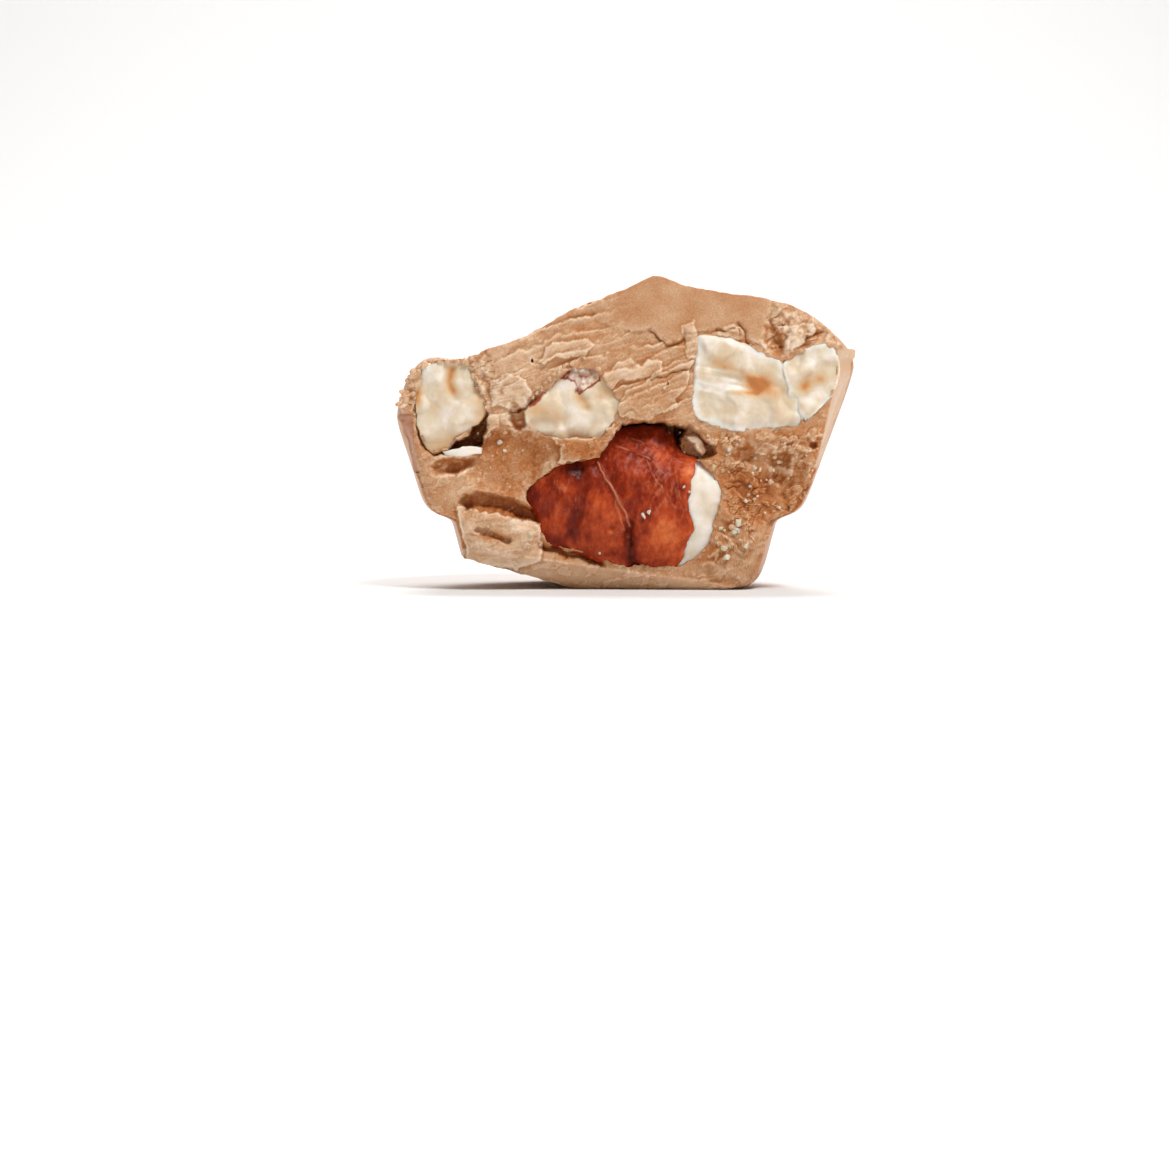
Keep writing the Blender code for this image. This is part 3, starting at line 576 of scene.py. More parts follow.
def nut_skin(settings):
    """Dried nut skin: a thin red-brown film with a satin gloss, veined and dusted where it rubbed."""
    made, tree, shader = new_material("dried_nut_skin")
    where = add(tree, "ShaderNodeTexCoord").outputs["Object"]
    skin_tone_and_shade = add(tree, "ShaderNodeAttribute", attribute_name="skin_tone_and_shade").outputs["Fac"]
    vein = add(tree, "ShaderNodeAttribute", attribute_name="vein").outputs["Fac"]
    bloom = add(tree, "ShaderNodeAttribute", attribute_name="bloom").outputs["Fac"]
    drawn = add(tree, "ShaderNodeMapping", {"Vector": where, "Scale": (1.0, 1.0, 0.5),
                                            "Rotation": (0.0, math.radians(24.0), 0.0)}).outputs[0]
    # Fibres about 0.25 mm wide and four times as long.
    fibre = add(tree, "ShaderNodeTexNoise", {"Vector": drawn, "Scale": 2600.0, "Detail": 4.0,
                                             "Roughness": 0.65}).outputs["Fac"]
    cloud = add(tree, "ShaderNodeTexNoise", {"Vector": where, "Scale": 700.0, "Detail": 6.0,
                                             "Roughness": 0.65}).outputs["Fac"]
    one = add(tree, "ShaderNodeMapRange", {"Value": fibre, "From Min": 0.3, "From Max": 0.7,
                                           "To Min": -0.09, "To Max": 0.09}).outputs[0]
    two = add(tree, "ShaderNodeMapRange", {"Value": cloud, "From Min": 0.3, "From Max": 0.7,
                                           "To Min": -0.13, "To Max": 0.13}).outputs[0]
    both = add(tree, "ShaderNodeMath", {0: one, 1: two}, operation="ADD").outputs[0]
    shade = add(tree, "ShaderNodeMath", {0: skin_tone_and_shade, 1: both}, operation="ADD").outputs[0]
    colour = add(tree, "ShaderNodeValToRGB", {"Fac": shade}, stops=[
        (0.0, "#4a1006"), (0.3, settings.skin_deep), (0.55, settings.skin_middle),
        (0.8, settings.skin_glow), (1.0, "#e8843f")]).outputs["Color"]
    veined = add(tree, "ShaderNodeMix", {"Factor": vein, "A": colour, "B": linear("#cd8462")},
                 data_type="RGBA").outputs[2]
    powder = add(tree, "ShaderNodeMapRange", {"Value": fibre, "From Min": 0.5, "From Max": 0.62}).outputs[0]
    powder = add(tree, "ShaderNodeMath", {0: powder, 1: bloom}, operation="MULTIPLY").outputs[0]
    bloomed = add(tree, "ShaderNodeMix", {"Factor": powder, "A": veined, "B": linear("#c27a5c")},
                  data_type="RGBA").outputs[2]
    tree.links.new(bloomed, shader.inputs["Base Color"])
    rough = add(tree, "ShaderNodeMapRange", {"Value": powder, "To Min": 0.36, "To Max": 0.7}).outputs[0]
    tree.links.new(rough, shader.inputs["Roughness"])
    bump = add(tree, "ShaderNodeBump", {"Height": fibre, "Strength": 0.3, "Distance": 0.00008}).outputs[0]
    tree.links.new(bump, shader.inputs["Normal"])
    shader.inputs["Subsurface Weight"].default_value = 0.08
    shader.inputs["Subsurface Radius"].default_value = (1.0, 0.3, 0.15)
    shader.inputs["Subsurface Scale"].default_value = 0.0005
    shader.inputs["Specular IOR Level"].default_value = 0.14
    return made


def studio_floor(colour):
    """Matt painted board: even and pale, with a faint roller texture."""
    made, tree, shader = new_material("matt_painted_board")
    where = add(tree, "ShaderNodeTexCoord").outputs["Object"]
    nap = add(tree, "ShaderNodeTexNoise", {"Vector": where, "Scale": 900.0, "Detail": 2.0}).outputs["Fac"]
    bump = add(tree, "ShaderNodeBump", {"Height": nap, "Strength": 0.02, "Distance": 0.0001}).outputs[0]
    tree.links.new(bump, shader.inputs["Normal"])
    shader.inputs["Base Color"].default_value = (*colour, 1.0)
    shader.inputs["Roughness"].default_value = 0.9
    shader.inputs["Specular IOR Level"].default_value = 0.1
    return made


# The chocolate


def rounded_profile():
    """The cup's profile with its corners cut twice: each edge keeps its middle half."""
    line = np.array(CUP_PROFILE)
    for _ in range(2):
        a, b = line[:-1], line[1:]
        cut = np.empty((2 * len(a), 2))
        cut[0::2], cut[1::2] = 0.75 * a + 0.25 * b, 0.25 * a + 0.75 * b
        line = np.vstack([line[:1], cut, line[-1:]])
    return line[::-1]


PROFILE = rounded_profile()


def within_cup(x, y, z):
    """How far a point is inside the moulded cup: the profile's radius at its height, less its own.

    The point's height is first freed of the cup's lean, swells and fall, by stepping back from the
    rise that they give until it settles.
    """
    v = y - AXIS_BEHIND_FACE
    low = z
    behind = np.maximum(y, 0.0)
    fall = CROWN_DROP * (1.0 - np.exp(-behind / CROWN_DROP_WITHIN)) + CROWN_FALL * behind
    for _ in range(7):
        upper = ease(low, LEDGE_HEIGHT, RIM_HEIGHT)
        u = x - FOOT_SHIFT - (RIM_SHIFT - FOOT_SHIFT) * upper
        lumps = 0.0
        for at_x, at_y, wide, deep, height in CROWN_LUMPS:
            lumps = lumps + height * spot(u, v, at_x, at_y, wide, deep)
        rise = RIM_TILT * u * upper + lumps * ease(low, RIM_HEIGHT - 1.0, RIM_HEIGHT + 2.0)
        rise = rise - fall * ease(low, RIM_HEIGHT + 0.8, RIM_HEIGHT + 7.0)
        low = z - rise
    radius, around = np.hypot(u, v), np.arctan2(v, u)
    below_rim = ease(low, 8.5, 15.0) * (1.0 - ease(low, 17.5, 19.5)) * ease(radius, 14.0, 17.0)
    pleat = PLEAT_DEPTH * below_rim * np.cos(PLEATS * around)
    inside = np.interp(low, PROFILE[:, 1], PROFILE[:, 0]) + pleat - radius
    floor = np.maximum(0.0, (LEFT_LIFT_FROM - x) * LEFT_LIFT_SLOPE)
    return np.where((low > PROFILE[-1, 1]) | (z < floor), -1.0, inside)


def cup_reach(angle, tilt, y):
    """Distance to the cup's surface along each ray, found by halving the stretch that it lies in.

    A ray starts at the face's middle, y behind it, runs round at angle and back at tilt.
    """
    near, far = np.full(len(angle), 0.5), np.full(len(angle), 34.0)
    across, back = np.cos(tilt), np.sin(tilt)
    for _ in range(22):
        middle = 0.5 * (near + far)
        held = within_cup(FACE_MIDDLE[0] + middle * across * np.cos(angle), y + middle * back,
                          FACE_MIDDLE[1] + middle * across * np.sin(angle)) > 0.0
        near, far = np.where(held, middle, near), np.where(held, far, middle)
    return 0.5 * (near + far)


def wall_inset(x, z):
    """How far inside the cup's side wall a place on the break is, along x."""
    upper = ease(z, LEDGE_HEIGHT, RIM_HEIGHT)
    rim_height = z - RIM_TILT * x * upper
    middle = FOOT_SHIFT + (RIM_SHIFT - FOOT_SHIFT) * upper
    radius = np.interp(rim_height, PROFILE[:, 1], PROFILE[:, 0])
    half = np.sqrt(np.maximum(radius**2 - AXIS_BEHIND_FACE**2, 1.0))
    return half - np.abs(x - middle), rim_height


def kinds_of_ground(x, z, torn_x, torn_z):
    """How much of each kind of ground a place of the break is, from 0 to 1."""
    cut = ease(inside_of(torn_x, torn_z, KNIFE_CUT), -0.1, 0.15) * ease(x, -4.5, 1.5)
    crumbly = np.maximum(ease(inside_of(torn_x, torn_z, CRUMBLY_PATCH), -0.2, 0.3),
                         ease(inside_of(torn_x, torn_z, LEFT_CRUMBLE), -0.2, 0.3))
    gritty = ease(inside_of(torn_x, torn_z, GRITTY_RIGHT), -0.3, 0.5)
    hollow = ease(inside_of(torn_x, torn_z, GROUND_HOLLOW), -0.2, 0.4)
    foot = ease(5.6 - z + 0.12 * (x + 10.0), -0.4, 0.6) * (1.0 - ease(x, -6.6, -5.8))
    flaky = (1.0 - cut) * (1.0 - crumbly) * ease(z - 0.05 * x, 13.4, 15.0)
    flaky = flaky * (1.0 - ease(z, 12.0, 14.0) * ease(x, 5.0, 6.5))
    like = dict(cut=cut, crumbly=crumbly, gritty=gritty, hollow=hollow, foot=foot, flaky=flaky)
    like["plain"] = 1.0 - np.clip(sum(like.values()), 0.0, 1.0)
    return like


def low_relief(x, z, torn_x, torn_z, like, streak, flake):
    """Depth in mm of each kind of ground's own relief, weighed by how much of it a place is."""
    # Layers that rise to the right, one torn back behind another, with fine streaks along them.
    strength = np.clip(0.6 + 0.8 * cloudy(x, z, 3.0, 22, 2), 0.2, 1.1)
    layers = flake * strength * (terraces(x, z, 1.15, 21.0, 23) - 0.4)
    layers += 0.22 * flake * (1.2 - strength) * (terraces(x, z, 0.5, 18.0, 24) - 0.4)
    layers -= 0.02 * streak + 0.14 * cloudy(x, z, 2.6, 25)
    # Small angular lumps, parted by creases.
    lump, border, lean = plates(torn_x, torn_z, 1.15, 0.8, 35.0, 14)
    small, small_border, _ = plates(torn_x, torn_z, 0.45, 0.38, -20.0, 15)
    lumps = 0.5 * (lump - 0.5) + 0.15 * lean - 0.16 * ease(border, 0.0, 0.22)
    smalls = 0.16 * (small - 0.5) - 0.06 * ease(small_border, 0.0, 0.2)
    in_places = ease(cloudy(x, z, 1.8, 26, 2), -0.15, 0.25)
    depth = like["flaky"] * layers
    depth += like["crumbly"] * (0.3 * lumps + 0.5 * smalls + 0.3 * cloudy(x, z, 1.2, 30) + 0.1)
    depth += like["gritty"] * (0.2 * cloudy(x, z, 1.7, 16) + in_places * (0.45 * lumps + 0.8 * smalls)
                               - 0.12 * sheets(torn_x, torn_z, 1.3, 0.9, 0.0, 113, 0.15))
    depth += like["hollow"] * (0.1 * cloudy(x, z, 1.6, 17, 4)
                               - 0.05 * sheets(torn_x, torn_z, 0.8, 0.6, 0.0, 114, 0.3))
    depth += like["foot"] * (0.1 * cloudy(x, z, 1.1, 18)
                             - 0.06 * sheets(torn_x, torn_z, 1.8, 0.9, -12.0, 116, 0.15))
    depth += like["plain"] * (0.07 * cloudy(x, z, 1.4, 27, 4)
                              - 0.06 * sheets(torn_x, torn_z, 1.2, 0.6, 15.0, 117, 0.15))
    return depth + like["cut"] * (0.03 * grain(x, z, 5.0, 2.0, 8.0, 19) - 0.15)


def proud_plates(x, z, torn_x, torn_z, streak):
    """How far torn plates stand proud, in mm, and how much paler they are."""
    climb = z * math.cos(RIDGE_TURN) - x * math.sin(RIDGE_TURN) + 0.25 * streak
    ridges = np.sin(climb * 2.0 * math.pi / RIDGE_SPACING)
    raised, paler = np.zeros(np.shape(x)), np.zeros(np.shape(x))
    for outline, height, lightness, comb in PROUD_PLATES:
        share = ease(inside_of(torn_x, torn_z, outline), -0.04, 0.1)
        raised += share * (height - comb * ridges - 0.06 * cloudy(x, z, 1.2, 29))
        paler += lightness * share
    return raised, paler


def crack_depth(torn_x, torn_z):
    """How deep cracks run, in mm, and how much painted shade darkens them: grooves with a bell or a
    flat-bottomed section.
    """
    depth, sunk = np.zeros(np.shape(torn_x)), np.zeros(np.shape(torn_x))
    for line, half, sink in CRACKS:
        if half > WIDE_CRACK:
            within = 1.0 - ease(from_line(torn_x, torn_z, line), 0.45 * half, 1.15 * half)
        else:
            within = near_line(torn_x, torn_z, line, half)
        depth += sink * within
        sunk = np.maximum(sunk, min(1.0, 1.1 * sink) * within)
    return depth, sunk


def with_sockets(x, z, depth):
    """The depth with each nut's socket let in, and how far inside a socket each place is, in mm.

    A socket's floor is a quarter of a rounded square behind the nut's widest section. It stays a
    little inside the nut's rim, so that the chocolate holds the nut.
    """
    socket = np.full(np.shape(x), -9.0)
    for name, (level, reach_back) in NUT_DEPTHS.items():
        middle = NUT_MIDDLES[name]
        reach = rim_reach(name, np.arctan2(z - middle[1], x - middle[0])) - NUT_HOLDS[name]
        reach = np.maximum(reach + 0.16 * cloudy(x, z, 0.8, 28), 0.05)
        share = np.hypot(x - middle[0], z - middle[1]) / reach
        bowl = level + 0.3 + (reach_back + 0.2) * np.sqrt(np.clip(1.0 - share**2.5, 0.0, 1.0))
        mask = ease((1.0 - share) * reach, 0.0, 0.2)
        depth = np.where(mask > 0, np.maximum(depth, depth + (bowl - depth) * mask), depth)
        socket = np.maximum(socket, (1.0 - share) * reach)
    return depth, socket


def break_relief(x, z, settings):
    """Depth of the break behind its front plane, and what each place of it is made like.

    Broad hollows and swells, torn plates and streaks along the layers, pits, cracks, air gaps and
    the nuts' sockets are summed; the wall's worn band and the undercut foot follow the cup.
    """
    torn_x = x + BORDER_RAGGED * cloudy(x, z, 0.9, 11)
    torn_z = z + BORDER_RAGGED * cloudy(x, z, 0.9, 12)
    depth = np.full(np.shape(x), FACE_LEVEL)
    for at_x, at_z, length, height, turn, sink in FACE_FORMS:
        along, across = turned(torn_x, torn_z, turn, at_x, at_z)
        depth += sink * (1.0 - ease(np.hypot(along / length, across / height), 0.6, 1.2))
    like = kinds_of_ground(x, z, torn_x, torn_z)
    streak = grain(x, z, 4.5, 0.34, 21.0, 21, 3)
    depth += low_relief(x, z, torn_x, torn_z, like, streak, settings.flake_height)
    raised, paler = proud_plates(x, z, torn_x, torn_z, streak)
    depth -= raised
    for at_x, at_z, radius, sink in PITS:
        depth += sink * (1.0 - ease(np.hypot(torn_x - at_x, torn_z - at_z) / radius, 0.3, 1.05))
    ground = depth.copy()
    cracked, sunk = crack_depth(torn_x, torn_z)
    depth += cracked
    for outline, reach_back in AIR_GAPS:
        mask = inside_of(torn_x, torn_z, outline)
        depth += (reach_back - 0.4) * ease(mask, -0.05, 0.22) + 0.4 * ease(mask, 0.0, 1.2)
    chip = ease(inside_of(torn_x, torn_z, GAP_CHIP), -0.05, 0.1)
    depth += (GAP_CHIP_LEVEL - depth) * chip * (depth > GAP_CHIP_LEVEL)
    paler += 0.25 * chip
    depth, socket = with_sockets(x, z, depth)

    # The wall beside the break is worn smooth into a band: its width over the height, in mm.
    inset, rim_height = wall_inset(x, z)
    band = np.where(x > 0, np.interp(z, *RIGHT_BAND), np.interp(z, *LEFT_BAND))
    band = band * (1.0 - ease(rim_height, 16.5, 18.0))
    worn = ease(band - inset, -0.03, 0.08) * (band > 0.02)
    depth += 2.1 * np.clip(band - inset, 0.0, 2.0) * (band > 0.02)
    depth += 0.7 * np.exp(-np.maximum(inset, 0.0) / 0.22) * (1.0 - ease(rim_height, 13.5, 15.5))
    # Below a line that falls to the right, the break gives way to the foot's curved underside.
    across_foot = np.clip((x + 13.0) / 21.0, 0.0, 1.0)
    under = np.clip(3.3 - 3.0 * across_foot - z, -9.0, 4.0)
    depth += 0.95 * np.maximum(under, 0.0) - 0.1 * np.exp(-((under / 0.16) ** 2))
    # A painted highlight along the edge where the break meets the foot's underside.
    paler += 0.12 * np.exp(-(((under + 0.05) / 0.14) ** 2))
    like.update(worn=worn, under=ease(under, -0.08, 0.1), paler=paler, socket=socket, sunk=sunk,
                ground=ground)
    return depth, like


def build_chocolate(settings):
    """The whole broken piece as one closed mesh.

    Front: a grid over (u, v) from -1 to 1 whose square rings are blown out to the break's outline,
    at the relief's depth. Back: rings on the cup's surface, first in planes behind the outline,
    then along rays from the face's middle that tilt back to a pole.
    """
    columns, rows = 351, 221
    u, v = np.meshgrid(np.linspace(-1, 1, columns), np.linspace(-1, 1, rows), indexing="ij")
    share = np.maximum(np.abs(u), np.abs(v))
    angle = np.arctan2(12.5 * v, 18.4 * u)
    border = border_of(columns, rows)
    edge_angle = angle.ravel()[border]
    flat = np.zeros(len(border))
    depth = np.full(len(border), FACE_LEVEL)
    for _ in range(3):
        reach = cup_reach(edge_angle, flat, depth)
        edge_x = FACE_MIDDLE[0] + reach * np.cos(edge_angle)
        edge_z = FACE_MIDDLE[1] + reach * np.sin(edge_angle)
        left = ease(-edge_x, 13.5, 16.5) * ease(edge_z, 14.2, 14.9)
        torn = 0.12 + 0.5 * ease(-edge_x, 10.5, 14.0) * ease(edge_z, 13.6, 14.4)
        torn += 0.16 * ease(edge_x, 13.5, 15.5) * ease(edge_z, 17.0, 18.0)
        reach = reach + torn * (cloudy(edge_x, edge_z, 1.3, 41, 4) - 0.1) + 0.5 * left
        reach += 0.3 * left * cloudy(edge_x, edge_z, 0.5, 42, 2)
        reach += 0.55 * spot(edge_x, edge_z, 18.0, 19.3, 0.9, 0.6)
        edge_x = FACE_MIDDLE[0] + reach * np.cos(edge_angle)
        edge_z = FACE_MIDDLE[1] + reach * np.sin(edge_angle)
        depth = np.clip(break_relief(edge_x, edge_z, settings)[0], -0.1, 4.4)
    order = np.argsort(edge_angle)
    turns = np.concatenate([edge_angle[order] - 2 * math.pi, edge_angle[order],
                            edge_angle[order] + 2 * math.pi])
    out = np.interp(angle, turns, np.tile(reach[order], 3))
    x = FACE_MIDDLE[0] + share * out * np.cos(angle)
    z = np.maximum(FACE_MIDDLE[1] + share * out * np.sin(angle), 0.0)
    y, made_like = break_relief(x, z, settings)
    y.ravel()[border] = depth
    points = [np.column_stack([x.ravel(), y.ravel(), z.ravel()])]
    quads = [grid_quads(columns, rows)]
    triangles = []

    # Two fine rings just behind the edge, then one in four of their points carries on.
    ring, count = border, columns * rows
    for part in (0.08, 0.25):
        ring_y = depth + part * (AXIS_BEHIND_FACE - depth)
        whole = cup_reach(edge_angle, flat, ring_y)
        keep = (reach - cup_reach(edge_angle, flat, depth)) * (1.0 - part / 0.3)
        whole = whole + keep
        points.append(np.column_stack([FACE_MIDDLE[0] + whole * np.cos(edge_angle), ring_y,
                                       np.maximum(FACE_MIDDLE[1] + whole * np.sin(edge_angle), 0.0)]))
        back = np.arange(len(border)) + count
        quads.append(ring_quads(ring, back))
        ring, count = back, count + len(border)
    coarse_angle = edge_angle[::4]
    coarse_flat = np.zeros(len(coarse_angle))
    start_y = ring_y[::4]
    back = np.arange(len(coarse_angle)) + count
    a = ring.reshape(-1, 4)
    after = np.roll(a[:, 0], -1)
    b, b_next = back, np.roll(back, -1)
    triangles += [np.stack([a[:, 0], b, a[:, 1]], -1), np.stack([a[:, 1], b, a[:, 2]], -1),
                  np.stack([b, b_next, a[:, 2]], -1), np.stack([a[:, 2], b_next, a[:, 3]], -1),
                  np.stack([a[:, 3], b_next, after], -1)]
    tilts = [(0.0, part) for part in (0.2, 0.45, 0.7, 1.0)]
    tilts += [(0.5 * math.pi * k / 58.0, 1.0) for k in range(1, 58)]
    first = True
    for tilt, part in tilts:
        ring_y = start_y + part * (AXIS_BEHIND_FACE - start_y)
        whole = cup_reach(coarse_angle, coarse_flat + tilt, ring_y)
        points.append(np.column_stack([
            FACE_MIDDLE[0] + whole * math.cos(tilt) * np.cos(coarse_angle),
            ring_y + whole * math.sin(tilt),
            np.maximum(FACE_MIDDLE[1] + whole * math.cos(tilt) * np.sin(coarse_angle), 0.0)]))
        if not first:
            quads.append(ring_quads(ring, back))
        first = False
        ring, count = back, count + len(back)
        back = back + len(back)
    pole = cup_reach(np.zeros(1), np.full(1, 0.5 * math.pi), np.full(1, AXIS_BEHIND_FACE))
    points.append([[FACE_MIDDLE[0], AXIS_BEHIND_FACE + pole[0], FACE_MIDDLE[1]]])
    triangles.append(np.stack([ring, np.full(len(ring), count), np.roll(ring, -1)], -1))

    points = np.vstack(points)
    tail = len(points) - columns * rows
    tone, dust = break_tone(x, y, z, made_like)
    moulded = np.maximum(made_like["worn"], 0.75 * made_like["under"] * (made_like["socket"] < 0))
    values = {
        "tone": np.concatenate([tone.ravel(), outer_tone(points[-tail:])]),
        "moulded": np.concatenate([moulded.ravel(), np.ones(tail)]),
        "dust": np.concatenate([dust.ravel(), np.full(tail, 0.04)]),
    }
    return points, np.vstack(quads), np.vstack(triangles), values


def outer_tone(points):
    """Even, a little darker low on the wall."""
    return 0.5 + 0.03 * ease(points[:, 2], 4.0, 16.0) + 0.02 * mottle(*points.T, 5.0, 61, 2)


# Broad patches made lighter or darker: (x, z, half width, half height, lightness). The darker ones over the
# middle and left hollows, the groove and the cracks are painted shade.
TINTS_AND_PAINTED_SHADE = [
    (10.6, 8.2, 2.6, 1.7, -0.18), (-3.6, 11.2, 1.6, 1.0, -0.12), (-9.5, 6.6, 3.0, 0.7, -0.1),
    (-9.9, 10.6, 2.2, 2.0, -0.06), (9.2, 11.0, 1.1, 0.9, 0.12), (12.4, 10.0, 1.3, 1.6, 0.18),
    (-9.0, 5.2, 3.2, 0.5, 0.08), (-10.8, 4.4, 1.3, 0.4, -0.24), (5.2, 11.6, 1.2, 1.2, 0.1),
    (12.2, 20.3, 0.6, 0.8, -0.12), (14.9, 20.6, 0.6, 0.3, -0.14), (-12.6, 9.0, 2.6, 1.6, 0.05),
]


def break_tone(x, y, z, like):
    """How pale the break is: by zone, with painted highlights on crests and torn edges and painted shade in
    hollows, cracks and deep places.
    """
    bare = like["ground"]
    close = blur(bare, 1) - bare
    near = blur(bare, 3) - bare
    wide = blur(bare, 12) - bare
    tone = 0.585 + 0.0 * x
    for at_x, at_z, wide_x, high_z, shift in TINTS_AND_PAINTED_SHADE:
        tone += shift * spot(x, z, at_x, at_z, wide_x, high_z)
    tone += 0.02 * like["flaky"] + 0.12 * like["flaky"] * (1.0 - ease(x, -10.0, -4.0))
    tone += 0.12 * like["crumbly"] - 0.07 * like["hollow"] - 0.1 * like["gritty"]
    # Painted shade darkens the cracks.
    tone += 0.05 * like["foot"] + 0.8 * like["paler"] + 0.1 * like["under"] - 0.2 * like["sunk"]
    # Painted highlight on crests and torn edges, and painted shade at their feet and in hollows, from how
    # far each place stands off its blurred surroundings.
    tone += np.clip(2.6 * close, -0.04, 0.26) + np.clip(0.9 * near, -0.08, 0.14)
    tone += np.clip(0.25 * wide, -0.12, 0.08)
    # Painted shade: the deeper the break lies behind its front plane, the darker.
    tone -= 0.25 * ease(y, 1.6, 3.0)
    # The worn band is one moulded surface: its tone of 0.72 on the right is painted light and 0.38 on the
    # left is painted shade.
    tone = np.where(like["worn"] > 0.5, np.where(x > 0, 0.72, 0.38), tone)
    dust = 0.35 + 0.65 * like["gritty"] + 0.3 * like["hollow"] + 0.4 * like["under"] - 0.3 * like["cut"]
    return tone, np.clip(dust, 0.0, 1.0)


# The nuts


def kernel_front(name):
    """Front sheet of a snapped kernel: shell-like hollows that meet in ridges, rounded at its rim."""
    level = NUT_DEPTHS[name][0]
    base = NUT_FRONTS[name]
    seed = 70 + len(name)

    def front(x, z, share):
        y = base + 0.3 * cloudy(x, z, 3.6, seed, 2) + 0.05 * cloudy(x, z, 1.1, seed + 1, 3)
        y = y - 0.32 * ease(cloudy(x, z, 2.6, seed + 2, 2), 0.0, 0.6) + 0.1
        y = y + 0.28 * np.minimum(np.abs(cloudy(x, 1.5 * z, 4.2, seed + 3, 1)), 0.6) - 0.05
        if name == "left":
            groove = from_line(x, z, [(-14.2, 18.0), (-14.4, 16.9), (-14.0, 15.6)])
            y = y + 0.25 * np.exp(-((groove / 0.4) ** 2)) + 0.3 * ease(x + 0.3 * (15 - z), -13.4, -12.2)
            y = y + 0.4 * ease(-z, -13.2, -11.4)
        if name == "middle":
            y = y + 0.3 * near_line(x, z, [(-3.9, 15.9), (-3.3, 14.9)], 0.4)
            y = y + 0.4 * ease(-z, -13.4, -12.2) + 0.25 * ease(z, 15.8, 17.4)
        if name == "right":
            core = ((x - 10.6) / 2.4) ** 2 + ((z - 16.6 + 0.25 * (x - 10.6)) / 1.0) ** 2
            fan = ease(z, 15.8, 16.6) * (1.0 - ease(z, 17.8, 18.6)) * (1.0 - ease(x, 9.0, 10.8))
            y = y + 0.45 * np.exp(-core) + 0.14 * fan * grain(x, z, 4.5, 0.7, -12.0, 81, 2)
            y = y + 0.3 * ease(-z, -14.2, -13.0)
        if name == "right_rear":
            y = y + 0.35 * spot(x, z, 14.4, 16.7, 0.8, 1.1)
        rim = np.clip((share - 0.95) / 0.05, 0.0, 1.0)
        y = np.clip(y, -0.05, 0.7) + 0.06 * ease(share, 0.72, 0.95)
        return y + (level - y) * (1.0 - np.sqrt(np.clip(1.0 - rim**2, 0.0, 1.0)))

    return front


def kernel_values(name, points):
    """Where the kernel is toasted and where skin clings to it."""
    x, y, z = points.T
    middle = NUT_MIDDLES[name]
    share = np.hypot(x - middle[0], z - middle[1])
    share = share / rim_reach(name, np.arctan2(z - middle[1], x - middle[0]))
    # Browner the deeper the face lies behind the front plane.
    toast = 0.24 + 0.2 * mottle(x, y, z, 2.2, 91, 4) + 0.26 * ease(y, 0.3, 0.9)
    toast -= 0.2 * ease(share, 0.8, 0.95) * (name.startswith("right"))
    crest = cloudy(x, 1.5 * z, 4.2, 73 + len(name), 1)
    toast -= 0.1 * np.exp(-((crest / 0.12) ** 2))
    cling = 0.25 * ease(share + 0.06 * mottle(x, y, z, 0.8, 92, 2), 0.95, 1.0)
    if name == "left":
        groove = from_line(x, z, [(-14.2, 17.8), (-14.4, 16.9), (-14.1, 16.2)])
        toast += 0.38 * np.exp(-((groove / 0.36) ** 2)) + 0.22 * ease(x + 0.25 * (15 - z), -13.6, -12.0)
        toast += 0.15 * ease(-z, -13.4, -11.6)
        toast += 0.5 * ease(-x, 16.4, 16.9) * ease(z, 14.0, 15.5)
    if name == "middle":
        v_edge = inside_of(x, z, [(-5.3, 17.2), (-4.3, 18.3), (-2.0, 18.0), (-2.2, 17.0), (-3.9, 15.8),
                                  (-4.3, 16.9)])
        strip = from_line(x, z, [(-7.9, 15.0), (-7.2, 15.5), (-6.5, 16.5), (-5.8, 17.3), (-4.9, 18.1)])
        ragged = 0.2 * mottle(x, y, z, 0.6, 93, 3)
        inner = 0.45 + 0.8 * cloudy(x, z, 0.45, 94, 2)
        shown = ease(v_edge + ragged, -0.08, 0.04)
        cling = np.maximum(cling, shown * np.where(v_edge > 0.12, np.clip(inner, 0.0, 1.0), 1.0))
        cling = np.maximum(cling, 1.0 - ease(strip + ragged, 0.14, 0.34))
        toast += 0.3 * spot(x, z, -7.0, 14.5, 1.2, 0.6)
        toast += 0.35 * near_line(x, z, [(-3.9, 15.6), (-3.3, 14.9)], 0.45)
        toast += 0.12 * ease(x, -3.0, -1.0) - 0.12 * spot(x, z, -3.9, 14.3, 1.0, 0.8)
    if name == "right":
        core = ((x - 10.5) / 2.3) ** 2 + ((z - 16.7 + 0.25 * (x - 10.5)) / 0.95) ** 2
        toast += 0.34 * np.exp(-core)
        toast += 0.6 * spot(x, z, 10.7, 16.5, 1.2, 0.75)
        toast += 0.34 * near_line(x, z, [(7.1, 18.4), (8.6, 17.7), (10.4, 16.9)], 0.42)
        toast += 0.34 * near_line(x, z, [(8.2, 16.05), (10.5, 15.95)], 0.2)
        fan = ease(z, 15.6, 16.4) * (1.0 - ease(z, 17.6, 18.4)) * (1.0 - ease(x, 9.0, 10.4))
        toast -= 0.3 * fan * ease(grain(x, z, 4.5, 0.6, -12.0, 81, 2), -0.1, 0.3)
        toast -= 0.1 * ease(-z, -14.6, -13.2)
    if name == "right_rear":
        toast += 0.6 * spot(x, z, 14.35, 16.5, 0.6, 0.5)
        toast += 0.45 * spot(x, z, 15.7, 17.1, 0.5, 0.45)
    if name == "shard":
        toast -= 0.2
    return {"toast": toast, "cling": cling}


def build_kernel(name):
    """One snapped kernel as a lidded solid, with its colour values."""
    cells = 41 if name == "shard" else 121
    points, quads, fan = lidded_solid(name, cells, kernel_front(name))
    return points, quads, fan, kernel_values(name, points)


